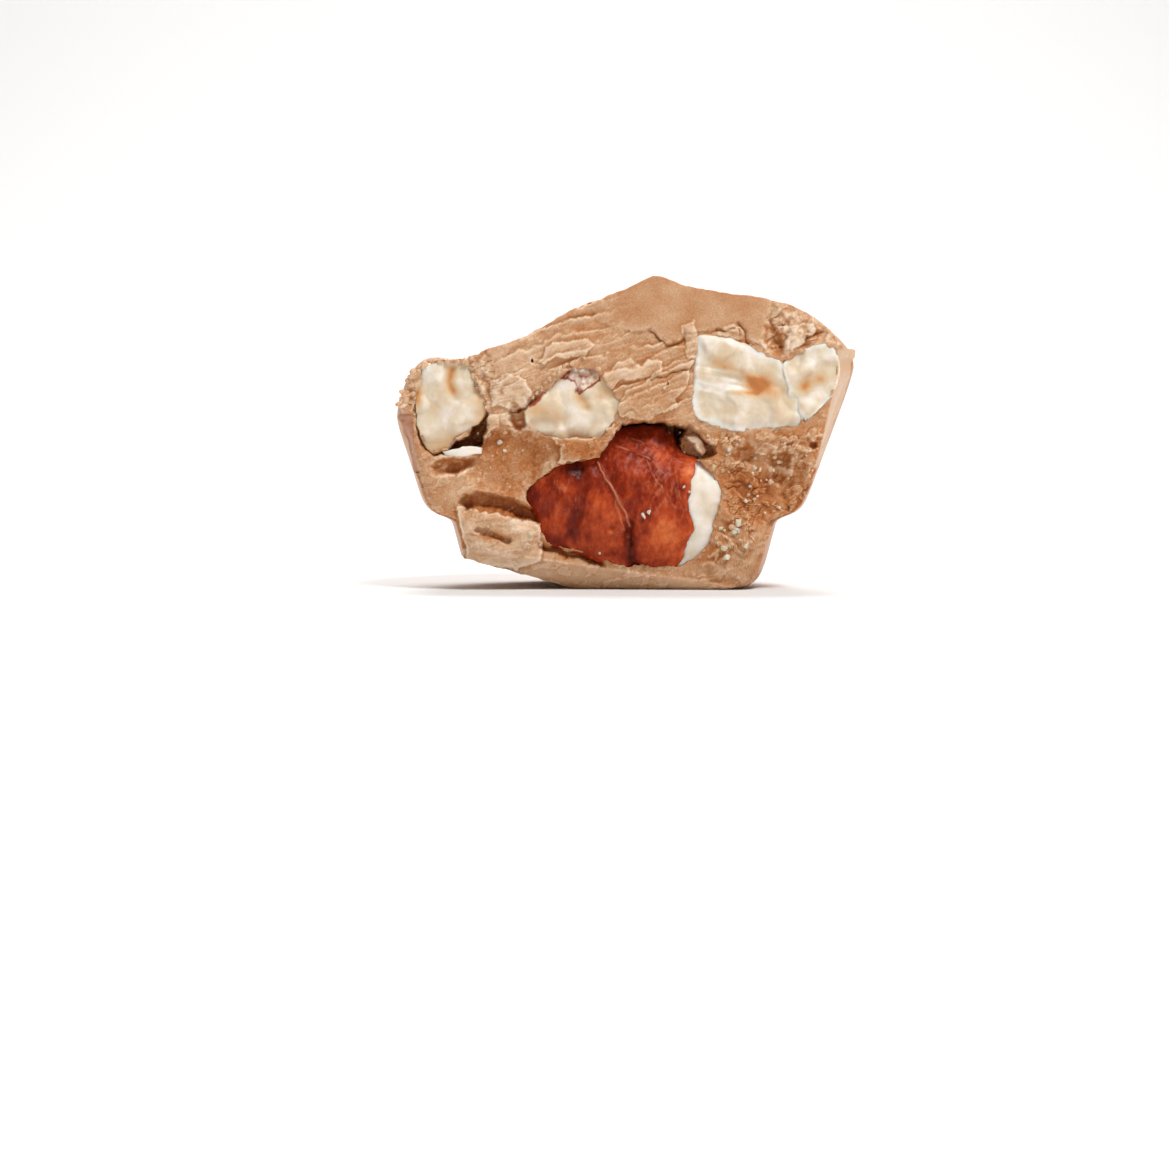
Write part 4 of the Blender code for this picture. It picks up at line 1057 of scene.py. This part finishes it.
SKIN_VALLEYS = [
    ([(-3.9, 10.6), (-3.5, 8.4), (-3.9, 6.6), (-4.6, 4.4)], 0.55, 0.38),
    ([(0.2, 5.4), (0.05, 4.3), (0.2, 3.1), (0.8, 1.8)], 0.4, 0.5),
    ([(3.4, 10.2), (3.9, 8.4), (3.6, 7.0)], 0.45, 0.2),
    ([(-6.4, 9.4), (-5.9, 8.0), (-6.4, 6.4)], 0.5, 0.2),
    ([(-2.3, 9.8), (-1.1, 8.0), (-0.1, 5.9)], 0.7, 0.12),
]
SKIN_VEINS = [
    ([(-2.4, 10.4), (-1.8, 9.2), (-1.2, 8.2), (-0.6, 7.2), (-0.1, 6.2), (0.2, 5.2)], 0.11, 0.16),
    ([(-1.0, 11.6), (0.4, 11.3), (1.9, 10.6)], 0.09, 0.12),
    ([(-0.2, 12.5), (1.2, 12.0), (2.4, 11.4)], 0.07, 0.1),
    ([(2.3, 9.6), (3.0, 8.6), (3.4, 7.4), (3.9, 6.6)], 0.07, 0.08),
    ([(1.6, 10.4), (2.2, 9.0), (2.9, 8.2)], 0.06, 0.08),
    ([(3.9, 9.5), (4.2, 7.6), (4.9, 6.4)], 0.06, 0.07),
    ([(-0.9, 7.3), (-0.6, 6.0), (-0.3, 4.9)], 0.1, 0.08),
    ([(3.7, 10.7), (4.7, 10.3), (5.5, 10.2)], 0.05, 0.06),
]
# Patches where the skin is made lighter or darker: (x, z, half width, half height, lightness). The lighter
# ones are where the skin is thin and orange; the darker ones are painted shade, at the nut's left end and
# top where it recedes, under the chocolate's overhang at its upper left, by its valleys and at its lower
# left.
SKIN_TONE_AND_SHADE_PATCHES = [
    (5.2, 9.6, 0.8, 1.4, 0.3), (3.6, 4.4, 1.7, 1.9, 0.26), (-1.6, 4.9, 1.6, 1.9, 0.12),
    (-5.6, 6.2, 1.0, 1.6, 0.1), (-8.0, 7.4, 1.0, 1.6, -0.2), (-4.0, 9.6, 1.6, 0.8, -0.2),
    (0.9, 12.6, 2.6, 0.8, -0.16), (-0.8, 9.6, 1.2, 1.6, -0.1), (0.2, 3.0, 0.5, 1.4, -0.2),
    (1.4, 7.6, 1.4, 1.6, -0.06), (-6.2, 3.9, 1.4, 0.7, -0.12), (-1.35, 4.75, 0.24, 0.2, 0.35),
]
TORN_EDGE = [(6.0, 10.9), (5.6, 10.3), (5.55, 9.6), (5.2, 8.9), (5.15, 8.0), (4.95, 7.3), (5.05, 6.4),
             (5.35, 5.5), (5.5, 4.9), (5.0, 4.2), (4.75, 3.4), (4.6, 2.6), (4.1, 1.9), (3.9, 1.2)]


def nut_crown(x, z, share):
    """The whole nut's front: a full round crown, lobed by valleys where the seed leaves meet.

    It runs back to its rim, which lies deepest above, under the torn chocolate.
    """
    rim = 1.2 + 1.5 * ease(z, 9.0, 12.3) * (1.0 - ease(-x, 0.0, 3.0)) + 0.5 * ease(-x, 6.6, 8.4)
    crown = np.power(np.clip(1.0 - share**2.8, 0.0, 1.0), 0.55)
    # The crown is fullest low in the middle, as the cast in the other half shows.
    front = -0.35 - 0.45 * spot(x, z, 1.0, 6.0, 5.0, 4.5)
    front = front + 1.1 * ease(z, 9.0, 13.0) + 0.5 * ease(-x, 4.5, 8.0)
    y = rim + (front - rim) * crown
    for line, half, sink in SKIN_VALLEYS:
        y = y + sink * near_line(x, z, line, half) * np.sqrt(crown)
    return y + 0.1 * cloudy(x, z, 3.0, 51, 2) * crown


def torn_side(x, z):
    """Distance right of the skin's torn edge, in mm; positive where the flesh is bare."""
    line = np.array(TORN_EDGE)[::-1]
    at = np.interp(z, line[:, 1], line[:, 0])
    return x - at - 0.06 * cloudy(x, z, 0.5, 52, 2)


def build_skinned():
    """The nut's flesh and its skin, two closed solids on one crown: the skin is a thin lid over it."""
    def flesh_front(x, z, share):
        y = nut_crown(x, z, share) + 0.05 * cloudy(x, z, 1.2, 53, 3)
        return y + 0.3 * (1.0 - ease(torn_side(x, z), -0.25, 0.05))

    def skin_front(x, z, share):
        y = nut_crown(x, z, share) - 0.02
        for line, half, lift in SKIN_VEINS:
            y = y - lift * near_line(x, z, line, 1.2 * half) * (share < 0.97)
        wrinkle = grain(x, z, 2.6, 0.7, 62.0, 54, 3)
        y = y - 0.07 * wrinkle - 0.05 * cloudy(x, z, 0.8, 55, 3)
        bare = ease(torn_side(x, z), -0.05, 0.12)
        return y + 0.75 * bare * (share < 0.999)

    flesh = lidded_solid("skinned", 111, flesh_front)
    skin = lidded_solid("skinned", 221, skin_front, 0.9)
    x, y, z = flesh[0].T
    # The flesh is browner the deeper it lies behind the front plane.
    flesh_values = {"toast": 0.1 + 0.14 * mottle(x, y, z, 1.8, 57, 2) + 0.18 * ease(y, 2.0, 3.2),
                    "cling": np.zeros(len(x))}
    x, y, z = skin[0].T
    veins, skin_tone_and_shade = np.zeros(len(x)), 0.4 + 0.0 * x
    bent_x, bent_z = x + 0.16 * cloudy(x, z, 1.1, 59, 2), z + 0.16 * cloudy(x, z, 1.1, 60, 2)
    for line, half, lift in SKIN_VEINS:
        share = near_line(bent_x, bent_z, line, 0.7 * half)
        if half < 0.1:
            share = share * ease(cloudy(x, z, 1.0, 62, 2), -0.35, 0.15)
        veins = np.maximum(veins, share * min(1.0, 6.0 * lift))
    # Painted shade in the valleys between the lobes.
    for line, half, sink in SKIN_VALLEYS:
        skin_tone_and_shade -= 0.5 * sink * near_line(x, z, line, half)
    for at_x, at_z, wide_x, high_z, shift in SKIN_TONE_AND_SHADE_PATCHES:
        skin_tone_and_shade += shift * spot(x, z, at_x, at_z, wide_x, high_z)
    # Painted shade: the skin darkens where it recedes behind the front.
    skin_tone_and_shade -= 0.22 * ease(y, 1.4, 2.6)
    skin_tone_and_shade += 0.14 * mottle(x, y, z, 1.3, 58, 4)
    bloom = 0.06 + 0.0 * x
    for at_x, at_z, half in [(1.6, 10.6, 0.9), (2.4, 9.2, 1.0), (3.2, 8.0, 0.9), (-5.3, 8.4, 0.7),
                             (-4.7, 7.2, 0.7), (-0.3, 4.7, 0.6), (2.2, 7.2, 0.7), (4.6, 7.0, 0.7)]:
        bloom += 0.4 * spot(x, z, at_x, at_z, half, half)
    return flesh, flesh_values, skin, {"skin_tone_and_shade": skin_tone_and_shade, "vein": 0.85 * veins, "bloom": np.clip(bloom, 0, 1)}


def pebble(rings=4, around=6):
    """A closed round grain of radius 1: rings of latitude between two poles."""
    tilt = math.pi * np.arange(1, rings) / rings
    turn = 2.0 * math.pi * np.arange(around) / around
    rows = [np.column_stack([np.sin(t) * np.cos(turn), np.sin(t) * np.sin(turn),
                             np.full(around, math.cos(t))]) for t in tilt]
    points = np.vstack([[[0.0, 0.0, 1.0]]] + rows + [[[0.0, 0.0, -1.0]]])
    rings_of = np.arange(1, 1 + (rings - 1) * around).reshape(rings - 1, around)
    quads = [np.stack([a, b, np.roll(b, -1), np.roll(a, -1)], -1) for a, b in zip(rings_of, rings_of[1:])]
    top = np.stack([np.zeros(around, int), rings_of[0], np.roll(rings_of[0], -1)], -1)
    last = len(points) - 1
    foot = np.stack([rings_of[-1], np.full(around, last), np.roll(rings_of[-1], -1)], -1)
    return points, np.vstack(quads), np.vstack([top, foot])


def grains(places, sizes, seed):
    """Angular crumbs: one pebble for each place, stretched, turned and knocked out of round."""
    unit, quads, tris = pebble()
    count, each = len(places), len(unit)
    index = np.arange(count)
    pick = [scatter(index, index * 0 + k, index * 0, seed)[:, None] for k in range(8)]
    corner = np.arange(each)[None, :] + 0 * index[:, None]
    knocked = 0.6 + 0.65 * scatter(index[:, None] + 0 * corner, corner, 0 * corner, seed + 1)
    shape = unit[None] * knocked[..., None]
    shape = shape * np.stack([0.75 + 0.45 * pick[0], 0.5 + 0.4 * pick[1], 0.65 + 0.4 * pick[2]], -1)
    turn = 2.0 * math.pi * pick[3]
    c, s = np.cos(turn), np.sin(turn)
    rx = shape[..., 0] * c - shape[..., 2] * s
    rz = shape[..., 0] * s + shape[..., 2] * c
    shape = np.stack([rx, shape[..., 1], rz], -1) * sizes[:, None, None] + places[:, None, :]
    offset = (index * each)[:, None, None]
    return (shape.reshape(-1, 3), (quads[None] + offset).reshape(-1, 4),
            (tris[None] + offset).reshape(-1, 3))


# Named chips: (x, z, size in mm, proud of the break), pale ones and then brown ones.
PALE_CHIPS = [
    (9.0, 5.45, 0.42, 0.05), (8.9, 4.85, 0.36, 0.05), (8.7, 4.7, 0.3, 0.05), (-4.2, 17.3, 0.14, 0.3),
    (10.4, 9.9, 0.2, 0.1), (10.8, 9.7, 0.16, 0.1), (10.2, 9.5, 0.14, 0.1), (7.6, 5.0, 0.2, 0.1),
    (7.9, 4.8, 0.16, 0.1), (-6.9, 16.2, 0.1, 0.2), (-6.2, 17.0, 0.1, 0.2), (-5.5, 17.7, 0.1, 0.2),
    (1.75, 6.35, 0.26, 0.1), (1.3, 6.05, 0.24, 0.1), (-7.9, 4.6, 0.2, 0.1), (9.6, 3.6, 0.22, 0.1),
    (7.9, 3.4, 0.3, 0.1), (8.1, 2.7, 0.3, 0.1), (11.9, 9.7, 0.2, 0.1), (-10.3, 12.0, 0.28, 0.1),
    (-9.9, 11.3, 0.2, 0.1), (4.6, 8.4, 0.16, 0.05), (5.0, 8.0, 0.14, 0.05), (-2.2, 3.0, 0.16, 0.05),
]
BROWN_CHIPS = [
    (-17.9, 15.3, 0.4, 0.0), (-17.4, 16.6, 0.35, 0.0), (-16.9, 17.7, 0.35, 0.0), (-15.7, 18.3, 0.3, 0.0),
    (-18.5, 15.1, 0.3, 0.1), (-18.2, 16.1, 0.3, 0.1), (-17.8, 17.0, 0.28, 0.1), (-17.3, 17.6, 0.26, 0.1),
    (-16.4, 18.2, 0.34, 0.1), (-15.2, 18.5, 0.36, 0.1), (-14.5, 18.5, 0.3, 0.1), (-13.8, 18.5, 0.34, 0.1),
    (-13.1, 18.5, 0.34, 0.1), (-12.5, 18.3, 0.22, 0.1), (-12.2, 17.2, 0.2, 0.1), (-17.3, 15.9, 0.22, 0.2),
    (-7.6, 15.6, 0.17, 0.1), (-7.3, 15.95, 0.2, 0.1), (-6.9, 16.4, 0.18, 0.1), (-6.65, 16.8, 0.2, 0.1),
    (-6.3, 17.15, 0.19, 0.1), (-5.9, 17.5, 0.2, 0.1), (-5.5, 17.85, 0.17, 0.1), (-5.1, 18.15, 0.2, 0.1),
    (-4.2, 17.75, 0.2, 0.3), (-3.8, 17.3, 0.17, 0.3), (-3.3, 17.75, 0.2, 0.3), (-3.5, 16.9, 0.15, 0.3),
    (-2.8, 17.5, 0.17, 0.3), (-4.5, 18.3, 0.2, 0.1), (-2.3, 17.9, 0.2, 0.1), (2.0, 14.6, 0.22, 0.0),
    (0.7, 14.5, 0.2, 0.0), (8.0, 12.3, 0.22, 0.0), (13.6, 12.4, 0.22, 0.0), (14.8, 9.3, 0.24, 0.0),
]


def build_crumbs(settings, count):
    """Chips at their own places and small grains scattered over the rough ground, on the relief."""
    index = np.arange(6 * count + 6)
    x = -17.0 + 34.0 * scatter(index, index * 0, index * 0, 201)
    z = 1.5 + 21.0 * scatter(index, index * 0 + 1, index * 0, 201)
    like = break_relief(x, z, settings)[1]
    wanted = 0.15 + 0.85 * np.clip(like["gritty"] + like["crumbly"] + 0.6 * like["hollow"], 0, 1)
    room = (like["socket"] < -0.25) & (wall_inset(x, z)[0] > 1.0) & (z > 3.0) & (like["cut"] < 0.2)
    room &= z < 20.5 - 0.35 * np.abs(x)
    kept = np.flatnonzero(room & (scatter(index, index * 0 + 2, index * 0, 201) < wanted))[:count]
    size = 0.06 + 0.12 * scatter(kept, kept * 0 + 3, kept * 0, 201) ** 2
    pale_x = np.concatenate([[c[0] for c in PALE_CHIPS], x[kept]])
    pale_z = np.concatenate([[c[1] for c in PALE_CHIPS], z[kept]])
    proud = np.concatenate([[c[3] for c in PALE_CHIPS], 0.3 * size])
    size = np.concatenate([[c[2] for c in PALE_CHIPS], size])
    ground, like = break_relief(pale_x, pale_z, settings)
    middle = NUT_MIDDLES["skinned"]
    share = np.hypot(pale_x - middle[0], pale_z - middle[1]) / rim_reach(
        "skinned", np.arctan2(pale_z - middle[1], pale_x - middle[0]))
    on_nut = nut_crown(pale_x, pale_z, np.minimum(share, 1.0))
    ground = np.where(share < 0.97, on_nut, np.minimum(ground, 1.6))
    pale = grains(np.column_stack([pale_x, ground - proud, pale_z]), size, 211)
    lumps = np.flatnonzero(room & (scatter(index, index * 0 + 4, index * 0, 201) < 1.3 * wanted - 0.3))
    lumps = lumps[-2 * count:]
    lump_size = 0.1 + 0.16 * scatter(lumps, lumps * 0 + 5, lumps * 0, 201) ** 2
    brown_x, brown_z, brown_size, brown_proud = np.hstack([
        np.array(BROWN_CHIPS).T, [x[lumps], z[lumps], lump_size, 0.2 * lump_size]])
    ground = np.minimum(break_relief(brown_x, brown_z, settings)[0], 1.2)
    # A chip past the torn edge would hang in the air.
    corner = ease(-brown_x, 13.5, 16.5) * ease(brown_z, 14.2, 14.9)
    held = within_cup(brown_x, ground, brown_z) > -0.15 - 0.4 * corner
    brown_places = np.column_stack([brown_x, ground - brown_proud, brown_z])[held]
    brown = grains(brown_places, brown_size[held], 212)
    several = len(brown[0])
    return ((*pale, {"toast": 0.28 + 0.0 * pale[0][:, 0], "cling": 0.0 * pale[0][:, 0]}),
            (*brown, {"tone": np.full(several, 0.74), "moulded": np.zeros(several),
                      "dust": np.full(several, 0.5)}))


# Settings


def colour_property(name, description, default):
    """A colour typed as sRGB hex."""
    return bpy.props.StringProperty(name=name, description=description, default=default)


class NutCupChocolate(bpy.types.PropertyGroup):
    """The chocolate's shape and colours."""

    flake_height: bpy.props.FloatProperty(
        name="Flake height", description="How far torn plates stand off the break, in mm",
        default=0.3, min=0.0, max=0.6)
    # The hollow colour shows where painted shade falls in hollows and cracks, and the flake colour where
    # painted highlights lie on torn crests.
    deep: colour_property("Hollow colour", "Chocolate deep in a hollow, sRGB hex", "#964f20")
    middle: colour_property("Break colour", "Chocolate on the plain break, sRGB hex", "#c4966f")
    pale: colour_property("Flake colour", "Chocolate on a torn crest, sRGB hex", "#ddbb9a")


class NutCupNuts(bpy.types.PropertyGroup):
    """The nuts' colours and the loose crumbs."""

    cream: colour_property("Kernel colour", "Snapped kernel, sRGB hex", "#dccaaf")
    toasted: colour_property("Toasted colour", "Toasted core of a kernel, sRGB hex", "#cf9258")
    # The darkest skin colours show where painted shade falls: in the valleys and where the skin recedes.
    skin_deep: colour_property("Skin in its valleys", "Darkest skin, sRGB hex", "#85260e")
    skin_middle: colour_property("Skin colour", "Plain skin, sRGB hex", "#b94a22")
    skin_glow: colour_property("Skin where thin", "Thin skin over the flesh, sRGB hex", "#de7740")
    crumbs: bpy.props.IntProperty(
        name="Crumbs", description="Number of small grains that cling to the break",
        default=70, min=0, max=400)


class NutCupStage(bpy.types.PropertyGroup):
    """The floor, the light and the camera."""

    floor_colour: bpy.props.FloatVectorProperty(
        name="Floor colour", description="Linear colour of the floor and backdrop",
        subtype="COLOR", size=3, default=(0.82, 0.82, 0.82), min=0.0, max=1.0)
    key_power: bpy.props.FloatProperty(
        name="Key light", description="Power of the large soft light above",
        default=1.35, min=0.0, unit="POWER")
    back_power: bpy.props.FloatProperty(
        name="Backdrop light", description="Power of the soft light that whitens the sweep",
        default=3.3, min=0.0, unit="POWER")
    sky: bpy.props.FloatProperty(
        name="Sky", description="Strength of the even white surround", default=0.28, min=0.0)
    lens: bpy.props.FloatProperty(
        name="Lens", description="Focal length of the camera, in mm", default=100.0, min=20.0)
    elevation: bpy.props.FloatProperty(
        name="Camera height", description="Angle of the camera above the floor",
        default=math.radians(3.0), subtype="ANGLE")


# Operators


def finish_of(maker, settings):
    """The material that this maker gives, made once."""
    held = bpy.context.scene.get("nut_cup_" + maker.__name__)
    if held is None:
        held = maker(settings)
        bpy.context.scene["nut_cup_" + maker.__name__] = held
    return held


class NUTCUP_OT_chocolate(bpy.types.Operator):
    """Builds the broken chocolate"""

    bl_idname = "nutcup.chocolate"
    bl_label = "Broken chocolate"

    def execute(self, context):
        settings = context.scene.nut_cup_chocolate
        piece = put_mesh("chocolate_half", *build_chocolate(settings))
        piece.data.materials.append(finish_of(milk_chocolate, settings))
        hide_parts("chocolate")
        return {"FINISHED"}


class NUTCUP_OT_kernels(bpy.types.Operator):
    """Builds the snapped kernels that show on the break"""

    bl_idname = "nutcup.kernels"
    bl_label = "Snapped kernels"

    def execute(self, context):
        settings = context.scene.nut_cup_nuts
        for name in NUT_FRONTS:
            piece = put_mesh("kernel_" + name, *build_kernel(name))
            piece.data.materials.append(finish_of(nut_kernel, settings))
            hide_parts("nut_" + name)
        return {"FINISHED"}


class NUTCUP_OT_skinned(bpy.types.Operator):
    """Builds the whole nut in its skin"""

    bl_idname = "nutcup.skinned"
    bl_label = "Nut in its skin"

    def execute(self, context):
        settings = context.scene.nut_cup_nuts
        flesh, flesh_values, skin, skin_values = build_skinned()
        body = put_mesh("skinned_nut_flesh", *flesh, flesh_values)
        body.data.materials.append(finish_of(nut_kernel, settings))
        film = put_mesh("skinned_nut_skin", *skin, skin_values)
        film.data.materials.append(finish_of(nut_skin, settings))
        for piece in (body, film):
            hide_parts("nut_skinned")
        return {"FINISHED"}


class NUTCUP_OT_crumbs(bpy.types.Operator):
    """Builds the chips and crumbs that cling to the break"""

    bl_idname = "nutcup.crumbs"
    bl_label = "Chips and crumbs"

    def execute(self, context):
        chocolate, nuts = context.scene.nut_cup_chocolate, context.scene.nut_cup_nuts
        pale, brown = build_crumbs(chocolate, nuts.crumbs)
        piece = put_mesh("pale_crumbs", *pale)
        piece.data.materials.append(finish_of(nut_kernel, nuts))
        piece = put_mesh("chocolate_crumbs", *brown)
        piece.data.materials.append(finish_of(milk_chocolate, chocolate))
        return {"FINISHED"}


class NUTCUP_OT_stage(bpy.types.Operator):
    """Builds the floor, the lights and the camera"""

    bl_idname = "nutcup.stage"
    bl_label = "Stage"

    def execute(self, context):
        settings = context.scene.nut_cup_stage
        build_stage(context.scene, settings)
        return {"FINISHED"}


def build_stage(scene, settings):
    """A sweep behind and under the piece: a flat floor, a quarter circle, then an upright wall."""
    turn = np.linspace(0.0, 0.5 * math.pi, 17)
    bend = SWEEP_RADIUS * np.column_stack([np.sin(turn), 1.0 - np.cos(turn)]) + [SWEEP_START, 0.0]
    line = np.vstack([[[FLOOR_FRONT, 0.0], [FLOOR_BACK, 0.0]], bend,
                      [[SWEEP_START + SWEEP_RADIUS, WALL_TOP]]])
    across = np.linspace(-FLOOR_HALF, FLOOR_HALF, 3)
    points = np.stack([np.repeat(across, len(line)), np.tile(line[:, 0], 3), np.tile(line[:, 1], 3)], -1)
    mesh = bpy.data.meshes.new("floor")
    mesh.from_pydata(points.tolist(), [], grid_quads(3, len(line)).tolist())
    mesh.shade_smooth()
    floor = bpy.data.objects.new("floor", mesh)
    scene.collection.objects.link(floor)
    mesh.materials.append(studio_floor(settings.floor_colour))

    world = bpy.data.worlds.new("studio")
    scene.world = world
    world.use_nodes = True
    world.node_tree.nodes["Background"].inputs["Color"].default_value = SKY_TINT
    world.node_tree.nodes["Background"].inputs["Strength"].default_value = settings.sky
    aim = Vector(LAMPS_AIM)
    for name, place, size, power in [
        ("key_light", KEY_PLACE, KEY_SIZE, settings.key_power),
        ("backdrop_light", BACKDROP_PLACE, BACKDROP_SIZE, settings.back_power),
    ]:
        data = bpy.data.lights.new(name, "AREA")
        data.size = size
        data.energy = power
        lamp = bpy.data.objects.new(name, data)
        lamp.location = place
        lamp.rotation_euler = (aim - Vector(place)).to_track_quat("-Z", "Y").to_euler()
        scene.collection.objects.link(lamp)

    data = bpy.data.cameras.new("camera")
    data.lens = settings.lens
    data.sensor_width = 36.0
    data.clip_start, data.clip_end = 0.01, 20.0
    camera = bpy.data.objects.new("camera", data)
    target = Vector(CAMERA_TARGET)
    away = Vector((0.0, -math.cos(settings.elevation), math.sin(settings.elevation)))
    camera.location = target + CAMERA_DISTANCE * away
    camera.rotation_euler = (-away).to_track_quat("-Z", "Y").to_euler()
    scene.collection.objects.link(camera)
    scene.camera = camera
    scene.view_settings.view_transform = "Standard"
    scene.view_settings.exposure = 0.0


class NUTCUP_PT_panel(bpy.types.Panel):
    """Sizes, colours and the steps that build the piece"""

    bl_idname = "NUTCUP_PT_panel"
    bl_label = "Halved nut cup"
    bl_space_type = "VIEW_3D"
    bl_region_type = "UI"
    bl_category = "Nut cup"

    def draw(self, context):
        for group in ("nut_cup_chocolate", "nut_cup_nuts", "nut_cup_stage"):
            box = self.layout.box()
            held = getattr(context.scene, group)
            for key in held.__annotations__:
                box.prop(held, key)
        for step in STEPS:
            self.layout.operator(step.bl_idname)


GROUPS = {"nut_cup_chocolate": NutCupChocolate, "nut_cup_nuts": NutCupNuts, "nut_cup_stage": NutCupStage}
STEPS = (NUTCUP_OT_chocolate, NUTCUP_OT_kernels, NUTCUP_OT_skinned, NUTCUP_OT_crumbs, NUTCUP_OT_stage)


def register():
    """Registers the classes and puts the settings on the scene."""
    for one in (*GROUPS.values(), *STEPS, NUTCUP_PT_panel):
        bpy.utils.register_class(one)
    for key, group in GROUPS.items():
        setattr(bpy.types.Scene, key, bpy.props.PointerProperty(type=group))


def unregister():
    """Takes the settings and the classes away again."""
    for key in GROUPS:
        delattr(bpy.types.Scene, key)
    for one in reversed((*GROUPS.values(), *STEPS, NUTCUP_PT_panel)):
        bpy.utils.unregister_class(one)


def main():
    """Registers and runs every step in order."""
    register()
    bpy.ops.nutcup.chocolate()
    bpy.ops.nutcup.kernels()
    bpy.ops.nutcup.skinned()
    bpy.ops.nutcup.crumbs()
    bpy.ops.nutcup.stage()
    bpy.context.view_layer.update()


if __name__ == "__main__":
    main()
